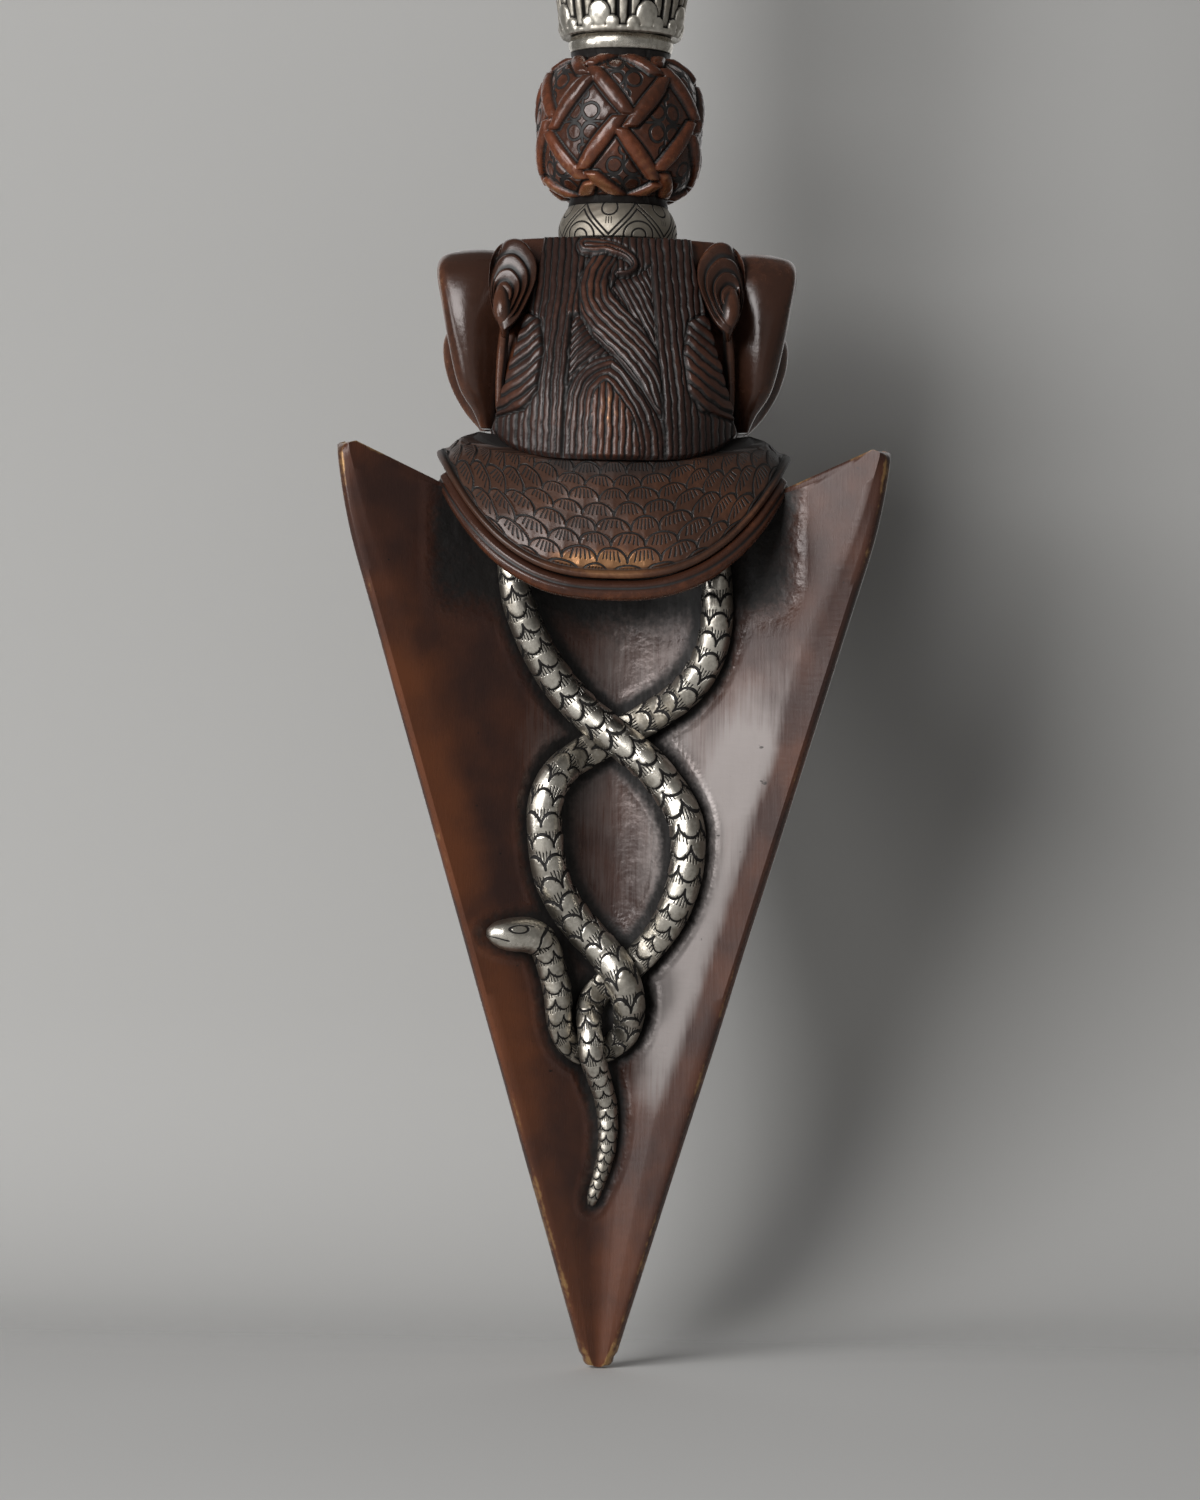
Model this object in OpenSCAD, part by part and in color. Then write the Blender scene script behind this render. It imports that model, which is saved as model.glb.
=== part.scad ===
// A three-winged ritual dagger with a makara head, knotted handle and half-vajra pommel.
// Millimetres, +Z up the handle. The origin is the centre of the blade's blunt tip.
// The front valley of the blade and the nape of the makara face -Y; its snout faces +Y.

/* [Blade] */
// Height of the wing tips above the blunt tip
blade_h = 138.4; // [120:0.1:160]
// Reach of each wing from the axis at its tip
blade_reach = 46.5; // [40:0.1:52]
// Reach of the wings at the blunt tip
tip_reach = 2.2; // [1.8:0.1:3]
// Height over which the wing's outline rounds at the top
shoulder_h = 18.4; // [12:0.1:30]
// Slope left in the wing's outline at its tip
shoulder_lean = 0.08; // [0:0.01:0.2]
// Drop of the wings' top edges from their tips to the axis
top_drop = 18.3; // [14:0.1:22]
// Thickness of a wing's outer edge
edge_t = 1.8; // [1.4:0.1:2.2]
// Thickness of a wing at the blunt tip
web_tip_t = 2.2; // [2.2:0.1:2.8]
// Thickness of a wing at its top
web_top_t = 3.6; // [3:0.1:4.4]
// Radius of the hollow between two wings at the top
valley_r = 20; // [14:0.5:24]
// Width of the bevel along a wing's edge at half height
bevel_w = 6; // [3:0.5:7]
// Radius of the round boss on top of the blade
boss_r = 7.5; // [6.5:0.1:9]
// Depth of the boss inside the head
boss_in = 14; // [12:0.5:16]

/* [Tang] */
// Radius of the iron tang
tang_r = 3; // [2.4:0.1:3.4]
// Depth of the tang in the blade's boss
tang_in = 14; // [10:0.5:16]
// Radius of the cross pins that hold the tang
pin_r = 0.9; // [0.7:0.1:1.1]
// Clearance between the tang and each bore, and between pins and holes
bore_gap = 0.05; // [0.02:0.01:0.08]
// Clearance between shaped pieces that lie against each other
seat_gap = 0.15; // [0.1:0.01:0.2]

/* [Serpents] */
// Half thickness of a serpent at its widest
serpent_r = 2.6; // [2.2:0.1:2.9]
// Depth of the serpent's flat underside below its middle
serpent_sole = 1.9; // [1.6:0.1:2.1]
// Height left above the middle where another serpent crosses over
pressed_top = 0.5; // [0.4:0.1:0.8]
// Number of sides of a serpent's section
serpent_sides = 10; // [8:2:12]

/* [Makara] */
// Height of the head from the hollow of the blade's top to its crown
head_h = 48.5; // [44:0.5:54]
// Half width of the skull
skull_w = 19.4; // [17:0.1:20]
// Depth of the nape behind the axis at its fullest
nape_y = 23.5; // [21:0.5:25]
// Depth of the brow before the axis
brow_y = 18; // [16:0.5:21]
// Thickness of the mane plate
mane_t = 1.6; // [1.2:0.1:2]
// Half width of the mane at its hem
mane_w = 18.4; // [15:0.1:19]
// Half width of the jaw, across its curve
jaw_w = 26.4; // [25:0.1:27.5]
// Depth of the jaw behind the axis
jaw_y = 28; // [26:0.5:30]
// Wall of the jaw
jaw_t = 2.8; // [2:0.1:3.4]
// Drop of the jaw's rim below the hollow of the blade's top, at the middle
jaw_drop = 2.8; // [1:0.1:8]
// Rise of the jaw's rim from its middle to its corners
jaw_rise = 18.5; // [15:0.5:20]
// Radius of the lip along the jaw's rim
lip_r = 1.5; // [1.2:0.1:1.8]
// Radius of an eye
eye_r = 4; // [3.4:0.1:4.6]
// Length of a fang
fang_h = 7.5; // [5:0.5:9]

/* [Handle] */
// Radius of a collar at its foot
collar_r = 8.8; // [8:0.1:9.6]
// Radius of the collar where it meets the knot
collar_top_r = 7.3; // [6:0.1:7.6]
// Height of a collar
collar_h = 5.4; // [4.5:0.1:6.5]
// Radius of a knot ball at its middle
knot_r = 12.6; // [11.5:0.1:13.5]
// Height of a knot ball between its flat ends
knot_h = 22.8; // [20:0.1:25]
// Wall of a hollow knot ball
knot_wall = 3; // [2.4:0.1:4]
// Radius of a plain ring
ring_r = 7.7; // [7:0.1:8.4]
// Height of a plain ring
ring_h = 2.6; // [1.8:0.1:3]
// Radius of a lotus at its fullest
lotus_r = 10.4; // [9.6:0.1:12]
// Height of one lotus of the grip
lotus_h = 22; // [18:0.5:26]
// Radius of the grip's middle bead
bead_r = 8.4; // [7.6:0.1:9]
// Height of the grip's middle bead
bead_h = 6; // [5:0.5:7]
// Number of ribs round a lotus
ribs = 32; // [24:1:36]

/* [Pommel] */
// Radius of the lotus under the half vajra
seat_r = 11.5; // [10.5:0.1:12.5]
// Height of that lotus
seat_h = 8; // [7:0.5:10]
// Height of the half vajra above its lotus
vajra_h = 38; // [34:0.5:44]
// Reach of the vajra's outer prongs at their fullest
prong_reach = 13; // [11.5:0.1:14]
// Half thickness of an outer prong
prong_r = 2.3; // [1.8:0.1:2.5]
// Number of outer prongs
prongs = 4; // [3:1:5]

/* [Hidden] */
$fn = 64;
over = 1; // how far a cutting shape runs past what it cuts
facing = ["front", "right", "left"];
kinds = ["descending_serpent", "rising_serpent"];
serpent_names = [for (way = facing) for (kind = kinds) str(kind, "_", way)];

copper = [0.36, 0.16, 0.09];
bronze = [0.3, 0.15, 0.1];
silver = [0.78, 0.76, 0.72];
iron = [0.3, 0.3, 0.32];

// Heights, from the blade upwards
hollow_z = blade_h - top_drop; // where the wings' sloping tops would meet on the axis
boss_top = hollow_z + boss_in;
head_top = hollow_z + head_h;
lower_knot_z = head_top + collar_h;
lower_ring_z = lower_knot_z + knot_h;
lower_lotus_z = lower_ring_z + ring_h;
bead_z = lower_lotus_z + lotus_h;
upper_lotus_z = bead_z + bead_h;
upper_ring_z = upper_lotus_z + lotus_h;
upper_knot_z = upper_ring_z + ring_h;
upper_collar_z = upper_knot_z + knot_h;
seat_z = upper_collar_z + collar_h;
vajra_z = seat_z + seat_h;
tang_z = boss_top - tang_in;
tang_rise = 8; // how far the tang reaches into the vajra's hub
tang_top = vajra_z + tang_rise;
bore_r = tang_r + bore_gap;
shell_gap = 2 * seat_gap; // between the skull and what is laid on it

// Shared helpers

// Catmull-Rom curve through a list of points, n steps between neighbours
function curve_at(p, i, t) = let (
    a = p[max(i - 1, 0)], b = p[i], c = p[i + 1], d = p[min(i + 2, len(p) - 1)])
    0.5 * (2 * b + (c - a) * t + (2 * a - 5 * b + 4 * c - d) * t * t
    + (3 * b - a - 3 * c + d) * t * t * t);
function curve(p, n) = [for (i = [0 : len(p) - 2]) for (k = [0 : n - 1]) curve_at(p, i, k / n),
    p[len(p) - 1]];
function unit(v) = v / norm(v);
// Radius of a circle squared off towards a superellipse, at angle w
function square_off(w, power) = pow(pow(abs(cos(w)), power) + pow(abs(sin(w)), power), -1 / power);
function mean(points) = [for (axis = [0 : 2]) let (all = [for (p = points) p[axis]])
    all * [for (p = points) 1] / len(points)];

// Faces of a solid through rings of n points, each ring turning anticlockwise seen from the last one
function side_faces(count, n) = [for (j = [0 : count - 2]) for (i = [0 : n - 1])
    let (a = j * n + i, b = j * n + (i + 1) % n) each [[a, a + n, b + n], [a, b + n, b]]];

// A closed solid through rounded rings, each end a fan about its middle
module skin(rings) {
    n = len(rings[0]);
    last = (len(rings) - 1) * n;
    middle = len(rings) * n;
    ends = [for (i = [0 : n - 1]) let (k = (i + 1) % n)
        each [[middle, i, k], [middle + 1, last + k, last + i]]];
    polyhedron(concat([for (r = rings) each r], [mean(rings[0]), mean(rings[len(rings) - 1])]),
        concat(side_faces(len(rings), n), ends), convexity = 10);
}

// A closed plate between two equal grids of points on the -Y side: each row is a column that rises,
// and the rows run from -X to +X
module plate(outer, inner) {
    rings = [for (j = [0 : len(outer) - 1])
        concat(inner[j], [for (i = [len(outer[j]) - 1 : -1 : 0]) outer[j][i]])];
    n = len(rings[0]);
    last = (len(rings) - 1) * n;
    ends = [for (i = [0 : n / 2 - 2]) let (k = n - 1 - i) each [[i, i + 1, k - 1], [i, k - 1, k],
        [last + k, last + k - 1, last + i + 1], [last + k, last + i + 1, last + i]]];
    polyhedron([for (r = rings) each r], concat(side_faces(len(rings), n), ends), convexity = 10);
}

module mirrored(side) {
    if (side < 0) mirror([1, 0, 0]) children();
    else children();
}

// The blade and its hollows

shoulder_z = blade_h - shoulder_h;
wing_slope = (blade_reach - tip_reach - shoulder_lean * shoulder_h / 2) / (blade_h - shoulder_h / 2);
// Reach of the wings at height z: a straight edge that rounds at its shoulder
function reach(z) = tip_reach + wing_slope * z
    - (wing_slope - shoulder_lean) / (2 * shoulder_h) * pow(max(0, z - shoulder_z), 2);
function web(z) = (web_tip_t + (web_top_t - web_tip_t) * reach(z) / blade_reach) / 2;
function hollow_r(z) = valley_r * reach(z) / blade_reach;
function hollow_c(z) = (hollow_r(z) + web(z)) / sin(60);
function bevel(z) = 0.3 + bevel_w * 4 * (z / blade_h) * (1 - z / blade_h);

// One valley of the section, from the wing at -60 to the wing at +60 degrees
function valley_points(z) = let (
    r = reach(z), h = web(z), e = min(edge_t / 2, h), rho = hollow_r(z), c = hollow_c(z),
    wing = function (side, u, w) [u * cos(60) + w * sin(60), side * (u * sin(60) - w * cos(60))])
    concat([wing(-1, r, e), wing(-1, r - bevel(z), h)],
        [for (a = [210 : -60 / 8 : 150]) [c + rho * cos(a), rho * sin(a)]],
        [wing(1, r - bevel(z), h), wing(1, r, e)]);
function turned(p, a, z) = [p[0] * cos(a) - p[1] * sin(a), p[0] * sin(a) + p[1] * cos(a), z];
function blade_ring(z) = [for (way = [-90, 30, 150]) for (p = valley_points(z)) turned(p, way, z)];

// The cone that slopes the wings' tops; raised by gap it bounds what sits on them
module top_cone(gap = 0) {
    h = head_h + shoulder_h;
    translate([0, 0, hollow_z + gap]) cylinder(h = h, r1 = 0, r2 = h * blade_reach / top_drop, $fn = 96);
}

module blade() color(bronze) {
    heights = concat([for (k = [0 : 7]) shoulder_z * k / 8],
        [for (k = [0 : 5]) shoulder_z + shoulder_h * k / 5]);
    difference() {
        union() {
            difference() {
                skin([for (z = heights) blade_ring(z)]);
                top_cone();
            }
            translate([0, 0, hollow_z - 4]) cylinder(h = boss_in + 4, r = boss_r);
        }
        translate([0, 0, tang_z]) cylinder(h = tang_in + over, r = bore_r);
        pin_hole(blade_pin_z, boss_r + over);
    }
}

// The tang and its pins

blade_pin_z = boss_top - 4;
pommel_pin_z = vajra_z + 3;
hub_r = 5.2; // radius of the vajra's hub, which the upper pin crosses

module cross_pin(z, half, r) translate([-half, 0, z]) rotate([0, 90, 0]) cylinder(h = 2 * half, r = r);
module pin_hole(z, half) cross_pin(z, half, pin_r + bore_gap);
module blade_pin() color(iron) cross_pin(blade_pin_z, boss_r - seat_gap, pin_r);
module pommel_pin() color(iron) cross_pin(pommel_pin_z, hub_r, pin_r);
module tang() color(iron) difference() {
    translate([0, 0, tang_z]) cylinder(h = tang_top - tang_z, r = tang_r);
    pin_hole(blade_pin_z, boss_r);
    pin_hole(pommel_pin_z, boss_r);
}

// The two serpents of each valley, by places drawn on a blade of the size named here:
// sideways, height, radius, lift over another, pressed under another
drawn_h = 138.4;
drawn_reach = 46.5;
drawn_r = 2.6;

descending_route = [
    [-15.2, 124.0, 1.9, 0, 0], [-14.8, 119.4, 2.1, 0, 0], [-13.9, 114.6, 2.3, 0, 0],
    [-12.4, 110.6, 2.4, 0, 0], [-10.2, 106.2, 2.5, 0, 0],
    [-7.0, 101.6, 2.6, 0.4, 0], [-3.0, 97.6, 2.6, 2.1, 0], [1.8, 93.9, 2.6, 3, 0], [6.0, 90.5, 2.6, 1.7, 0],
    [9.4, 86.4, 2.6, 0, 0], [11.6, 82.2, 2.6, 0, 0], [12.0, 77.6, 2.55, 0, 0], [11.4, 73.0, 2.5, 0, 0],
    [9.7, 68.2, 2.4, 0, 0.1], [6.9, 63.9, 2.3, 0, 0.8], [2.7, 59.4, 2.2, 0, 1], [-0.5, 57.0, 2.1, 0, 0.9],
    [-2.2, 54.2, 2.0, 0.1, 0.3], [-2.1, 50.6, 1.8, 2, 0], [-1.6, 46.8, 1.9, 2.5, 0],
    [-0.5, 43.4, 1.7, 1.3, 0], [0.6, 39.6, 1.6, 0, 0], [0.9, 35.6, 1.45, 0, 0], [0.6, 32.0, 1.3, 0, 0],
    [-0.3, 28.6, 1.1, 0, 0], [-1.2, 25.8, 0.9, 0, 0], [-1.5, 24.6, 0.5, 0, 0]];
rising_route = [
    [15.0, 124.0, 1.9, 0, 0], [15.4, 119.8, 2.1, 0, 0], [15.6, 115.6, 2.3, 0, 0],
    [15.5, 110.6, 2.35, 0, 0], [14.1, 105.6, 2.4, 0, 0],
    [11.3, 101.5, 2.4, 0, 0.2], [7.0, 98.2, 2.4, 0, 0.9], [2.4, 95.4, 2.4, 0, 1], [-3.4, 92.2, 2.4, 0, 0.9],
    [-7.4, 89.0, 2.5, 0, 0.1], [-9.3, 84.6, 2.55, 0, 0], [-9.2, 79.2, 2.6, 0, 0], [-8.4, 74.2, 2.6, 0, 0],
    [-6.6, 70.2, 2.6, 0, 0], [-3.9, 66.4, 2.6, 0.5, 0], [-0.6, 63.0, 2.6, 2, 0], [2.1, 59.6, 2.6, 2.8, 0],
    [3.4, 56.4, 2.5, 2.1, 0], [3.7, 53.0, 2.3, 0.4, 0], [2.6, 49.6, 2.0, 0.1, 0.7], [-1.4, 47.2, 1.7, 0, 1],
    [-4.7, 48.3, 1.8, 0, 1], [-6.5, 51.6, 1.9, 0, 0.5], [-7.0, 56.4, 2.1, 0, 0], [-8.1, 60.6, 2.1, 0, 0],
    [-9.4, 63.6, 2.2, 0, 0], [-11.6, 65.0, 2.4, 0, 0], [-14.4, 65.1, 2.2, 0, 0], [-16.4, 65.3, 1.4, 0, 0],
    [-17.1, 65.3, 0.6, 0, 0]];

// The serpent's middle over the front valley, d above its surface, with the way up from that surface
function valley_seat(x, z, d) = let (rho = hollow_r(z) - d, c = hollow_c(z))
    abs(x) < rho * sin(30)
    ? let (y = -c + sqrt(rho * rho - x * x)) [[x, y, z], unit([-x, -c - y, 0])]
    : [[x, -abs(x) * tan(30) - (web(z) + d) / cos(30), z], [x < 0 ? 0.5 : -0.5, -cos(30), 0]];
function serpent_ring(route, i) = let (
    p = route[i],
    sole = min(serpent_sole, 0.75 * p[2]),
    seat = valley_seat(p[0], p[1], sole + seat_gap + p[3]),
    before = route[max(i - 1, 0)], after = route[min(i + 1, len(route) - 1)],
    ahead = valley_seat(after[0], after[1], sole + after[3])[0]
        - valley_seat(before[0], before[1], sole + before[3])[0],
    t = unit(ahead), up = unit(seat[1] - t * (seat[1] * t)), side = cross(up, t),
    top = p[2] + (pressed_top - p[2]) * min(1, max(0, p[4])))
    [for (k = [0 : serpent_sides - 1]) let (a = 360 * (k + 0.5) / serpent_sides)
        seat[0] + side * (p[2] * cos(a)) + up * max(-sole, min(top, p[2] * sin(a)))];
module serpent(route, way) color(silver) rotate([0, 0, way]) {
    out = blade_reach / drawn_reach;
    up = blade_h / drawn_h;
    thick = serpent_r / drawn_r;
    sized = [for (p = curve(route, 2)) [p[0] * out, p[1] * up, p[2] * thick, p[3] * thick, p[4]]];
    skin([for (i = [0 : len(sized) - 1]) serpent_ring(sized, i)]);
}

// The makara's head

// Half sections of the skull at height z: to the nape, to the brow and to each side
crown_y = 10.5; // depth of the nape at the crown
brow_fall = 0.42; // share of its depth that the brow loses at the crown
temple = 32; // height above the hollow at which the skull is widest
nape_up = 6; // how far above the hem the nape starts to lean forward
brow_up = 30; // height above the hollow at which the brow starts to fall back
function nape(z) = let (start = hem_z + nape_up)
    nape_y - (nape_y - crown_y) * pow(max(0, z - start) / (head_top - start), 1.35);
function brow(z) = brow_y
    * (1 - brow_fall * pow(max(0, z - hollow_z - brow_up) / (head_h - brow_up), 2));
function skull_half(z) = skull_w * (z < hollow_z + temple
    ? 0.9 + 0.1 * sin(90 * max(0, z - hem_z) / (hollow_z + temple - hem_z))
    : 1 - 0.15 * pow(max(0, z - hollow_z - temple) / (head_h - temple), 2.5));
jaw_edge = 0.2; // how far the skull's lower part reaches above the jaw before it widens
function skull_back(z) = z < hem_z + hem_rise + 1.5 * jaw_edge
    ? min(nape(z) - mane_t, jaw_y * jaw_fall(0, z) - jaw_t) - seat_gap
    : nape(z) - mane_t - shell_gap;
function skull_side(y, z) = skull_half(z)
    * sqrt(max(0, 1 - pow(y / (y < 0 ? skull_back(z) : brow(z)), 2)));

module skull() {
    ledge = hem_z + hem_rise + jaw_edge;
    heights = concat([hollow_z + 1, hollow_z + 6, hollow_z + 10], [hem_z, ledge - 3, ledge],
        [for (k = [0 : 12]) ledge + jaw_edge + (head_top - ledge - jaw_edge) * k / 12]);
    skin([for (z = heights) [for (a = [0 : 15 : 345])
        [skull_half(z) * cos(a), (sin(a) < 0 ? skull_back(z) : brow(z)) * sin(a), z]]]);
}

// The muzzle over the back wing runs out into a trunk that curls up and back
// Each point: forward, height above the hollow, half width, half height
trunk_route = [
    [8, 20, 14, 17], [15, 20, 12.5, 13.6], [22, 20.4, 10, 11], [28.5, 21.6, 7.6, 9], [33.8, 24.4, 6, 7.2],
    [37.2, 29.2, 5, 5.8], [38, 34.8, 4.2, 4.8], [35.6, 39.6, 3.5, 4], [31.2, 41.4, 3, 3.2],
    [28, 39.2, 2.4, 2.4], [28.6, 36.2, 1.7, 1.7]];
trunk_power = 2.6; // 2 would make the muzzle's section an ellipse, more squares its corners
module trunk() {
    p = curve([for (q = trunk_route) [q[0], q[1] + hollow_z, q[2], q[3]]], 2);
    skin([for (i = [0 : len(p) - 1]) let (
        a = p[max(i - 1, 0)], b = p[min(i + 1, len(p) - 1)], t = unit([0, b[0] - a[0], b[1] - a[1]]),
        up = cross(t, [1, 0, 0]))
        [for (k = [0 : 23]) let (w = 15 * k, f = square_off(w, trunk_power))
            [0, p[i][0], p[i][1]] + [-1, 0, 0] * (p[i][2] * f * cos(w)) - up * (p[i][3] * f * sin(w))]]);
}

// A round ridge on the face, through places on the +X side: sideways, forward, height, radius
module ridge(route) {
    p = curve(route, 2);
    skin([for (i = [0 : len(p) - 1]) let (
        a = p[max(i - 1, 0)], b = p[min(i + 1, len(p) - 1)],
        t = unit([b[0] - a[0], b[1] - a[1], b[2] - a[2]]), s = unit(cross([0, 0, 1], t)), u = cross(t, s))
        [for (k = [0 : 7]) [p[i][0], p[i][1], p[i][2]]
            + s * (p[i][3] * cos(45 * k)) + u * (p[i][3] * sin(45 * k))]]);
}
// Along the lip: sideways, forward, radius
upper_lip = [[4.5, 33, 1.6], [8.5, 27, 1.8], [12.8, 19, 2], [skull_w - 2.8, 9, 2], [skull_w - 1.4, 0, 1.9],
    [skull_w - 1.2, -5, 1.2]];
// Along the brow: sideways, forward, height above the hollow, radius
brow_ridge = [[6, brow_y - 1.2, 35.6, 1], [10, brow_y - 2.4, 38.6, 1.8],
    [skull_w - 4.8, brow_y - 5.4, 39.2, 1.8], [skull_w - 2.4, brow_y - 8.6, 37.4, 1]];

module makara_head() color(copper) difference() {
    intersection() {
        union() {
            skull();
            trunk();
            for (side = [-1, 1]) mirrored(side) {
                ridge([for (q = upper_lip) [q[0], q[1],
                    hollow_z + seat_gap + top_drop * norm([q[0], q[1]]) / blade_reach + q[2], q[2]]]);
                ridge([for (q = brow_ridge) [q[0], q[1], q[2] + hollow_z, q[3]]]);
            }
        }
        top_cone(seat_gap);
    }
    translate([0, 0, hollow_z]) cylinder(h = boss_in + seat_gap, r = boss_r + bore_gap);
    translate([0, 0, hollow_z]) cylinder(h = head_h + over, r = bore_r);
    for (side = [-1, 1]) mirrored(side) eye_ball(seat_gap);
}

// Each wing's slot through what hangs beside it
module wing_slots(gap) for (way = [-30, 90, 210]) rotate([0, 0, way]) translate([0, web_top_t / 2 + gap, 0])
    rotate([90, 0, 0]) linear_extrude(web_top_t + 2 * gap)
        polygon([[0, 0], [blade_reach + over, 0],
            [blade_reach + over, blade_h + gap + top_drop * over / blade_reach], [0, hollow_z + gap]]);

// The lower jaw, a scaled pouch that hangs over the front valley

jaw_span = 74; // degrees each side of the middle
jaw_up = 14.5; // height of the jaw's top above the hollow of the blade, at the middle
dome_up = 24; // height above that hollow towards which the jaw draws in
hem_z = hollow_z + jaw_up; // where the mane's hem meets the jaw's top
hem_rise = 5; // how far that line rises towards the sides
jaw_dome = hollow_z + dome_up;
jaw_low = hollow_z - jaw_drop;
rim_power = 3; // the jaw is squarer at its rim than an ellipse, so it reaches over the wings
function rim_side(a) = abs(sin(a)) * square_off(a, rim_power);
function rim_z(a) = jaw_low + jaw_rise * pow(rim_side(a) / rim_side(jaw_span), 2.7);
function jaw_crown(a) = hem_z + hem_rise * pow(abs(sin(a)) / sin(jaw_span), 4);
function jaw_fall(a, z) = cos(57 * max(0, z - rim_z(a)) / (jaw_dome - rim_z(a)));
function jaw_at(a, t, inset) = let (z = rim_z(a) + t * (jaw_crown(a) - rim_z(a)), f = jaw_fall(a, z),
    k = 1 + (square_off(a, rim_power) - 1) * (1 - t))
    [(jaw_w * f - inset) * k * sin(a), -(jaw_y * f - inset) * k * cos(a), z];
jaw_angles = [for (k = [-10 : 10]) jaw_span * k / 10];

module lower_jaw() color(copper) difference() {
    plate([for (a = jaw_angles) [for (t = [0 : 0.125 : 1]) jaw_at(a, t, 0)]],
        [for (a = jaw_angles) [for (t = [0 : 0.125 : 1]) jaw_at(a, t, jaw_t)]]);
    wing_slots(seat_gap);
}

lip_span = jaw_span - 12; // the lip dies out where the jaw crosses the wings
module jaw_lip() color(copper) difference() {
    angles = [for (k = [-14 : 14]) lip_span * k / 14];
    rim = [for (a = angles) jaw_at(a, 0, lip_r - 0.4)];
    skin([for (i = [0 : len(rim) - 1]) let (
        t = unit(rim[min(i + 1, len(rim) - 1)] - rim[max(i - 1, 0)]), inward = unit(cross([0, 0, 1], t)),
        up = cross(t, inward), middle = rim[i] - up * (lip_r + seat_gap))
        [for (k = [0 : 7]) middle + inward * (lip_r * 1.25 * cos(45 * k)) + up * (lip_r * sin(45 * k))]]);
    wing_slots(seat_gap);
}

// The mane, a plate of combed hair down the nape

mane_top_w = 11; // half width of the mane at the crown
function mane_half(t) = mane_top_w + (mane_w - mane_top_w) * pow(t, 1.2); // crown at 0, hem at 1
module mane() color(copper) {
    hem = hem_z + seat_gap;
    grid = function (inset) [for (j = [-11 : 11]) [for (i = [0 : 14])
        let (u = j / 11, t = 1 - i / 14, z = head_top - t * (head_top - hem - hem_rise * pow(abs(u), 3)),
            w = skull_half(z) + mane_t + shell_gap, a = u * asin(mane_half(t) / w))
        [(w - inset) * sin(a), -(nape(z) - inset) * cos(a), z]]];
    plate(grid(0), grid(mane_t));
}

// Ears, horns, eyes and fangs

// Rows up each leaf of an ear: height above the hollow, y of the root's back, how far the edge
// stands out past the skull's half width, y of the edge, y of the root's front
ear_rows = [[20, -6, 0.5, -6.2, -2], [22.4, -7.5, 1.6, -7.5, -1], [26, -8.5, 3.8, -9.5, 1],
    [32, -9, 5.3, -10.5, 3], [38, -9, 6.4, -10.5, 4], [43, -8, 7.2, -9, 4], [45.6, -6, 6.6, -6.5, 3],
    [46.6, -4, 4.1, -4.5, 1]];
lobe_rows = [[20, -0.5, 0.6, 0.2, 2], [23, 0, 3.2, 1.2, 4.4], [27, 1.8, 5.4, 2.6, 6.4],
    [31.5, 3.4, 6.6, 4, 7], [35, 4.8, 6.2, 5, 7.2], [36.4, 5.4, 3.4, 5.6, 6.8]];
module leaf(rows) skin([for (r = rows) let (
        z = r[0] + hollow_z, y0 = r[1], xe = skull_w + r[2], ye = r[3], y1 = r[4],
        root = function (y) skull_side(y, z) + shell_gap, mid = (root(y0) + xe) / 2)
    [[root(y0), y0, z], [mid, (y0 + ye) / 2 - 0.5, z], [xe - 0.5, ye - 0.3, z], [xe, ye + 0.5, z],
        [xe - 0.3, ye + 1.3, z], [mid + 0.6, (y1 + ye) / 2 + 0.4, z],
        for (k = [0 : 4]) let (y = y1 + (y0 - y1) * k / 5) [root(y), y, z]]]);
module ear(side) color(copper) mirrored(side) {
    leaf(ear_rows);
    leaf(lobe_rows);
}
module ear_left() ear(-1);
module ear_right() ear(1);

// A horn beside the mane: a lobe that carries three nested crescents round a drop, over a thin stem
// Each point of a bar: how far inside the skull's half width, height above the hollow, how far it
// stands behind the skull, radius
crescents = [
    [[-0.2, 43, 10.4, 0.5], [1.7, 46.3, 8.6, 1.2], [4.5, 46.8, 5.6, 1.3], [6.3, 44.6, 4.6, 1.15],
        [6.7, 42, 4.2, 0.8], [6.2, 39.6, 4, 0.5]],
    [[0.2, 41.6, 10.8, 0.5], [1.9, 44, 8.4, 1.1], [4, 43.8, 6.4, 1.15], [5.1, 41.6, 5.4, 1],
        [5.3, 39, 4.8, 0.7], [4.9, 37.2, 4.4, 0.4]],
    [[0.5, 39.6, 10.6, 0.5], [1.9, 41.6, 7.7, 1], [3.3, 41, 6.8, 1], [4, 38.8, 6, 0.85], [3.8, 36.4, 5.2, 0.5]]];
drop = [[2.4, 40, 7, 0.6], [2.5, 38.4, 7, 1.35], [2.8, 36.4, 6.2, 1.45], [3, 34.6, 5, 0.95], [3, 33.2, 3.8, 0.5]];
stem = [[3, 34.4, 4.2, 0.7], [2.7, 31.6, 2.4, 0.8], [2.4, 27.6, 1.6, 0.7], [2.3, 23.8, 1.5, 0.6],
    [2.3, 22.2, 1.4, 0.4]];
lobe_inside = 3.2; // how far the lobe's middle lies inside the skull's half width
lobe_up = 40.4; // height of the lobe's middle above the hollow
lobe_out = 5.2; // how far the lobe's middle lies behind the skull
lobe_size = [3.3, 2.3, 6.6]; // half width, half depth and half height of the lobe
function behind(inside, up, out) = let (x = skull_w - inside, z = hollow_z + up)
    [x, -skull_back(z) * sqrt(max(0, 1 - pow(x / skull_half(z), 2))) - out, z];
module horn_lobe() skin([for (k = [1 : 11]) let (w = 15 * k - 90, f = cos(w))
    [for (a = [0 : 30 : 330]) behind(lobe_inside, lobe_up, lobe_out)
        + [lobe_size[0] * f * cos(a), lobe_size[1] * f * sin(a), lobe_size[2] * sin(w)]]]);
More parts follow.
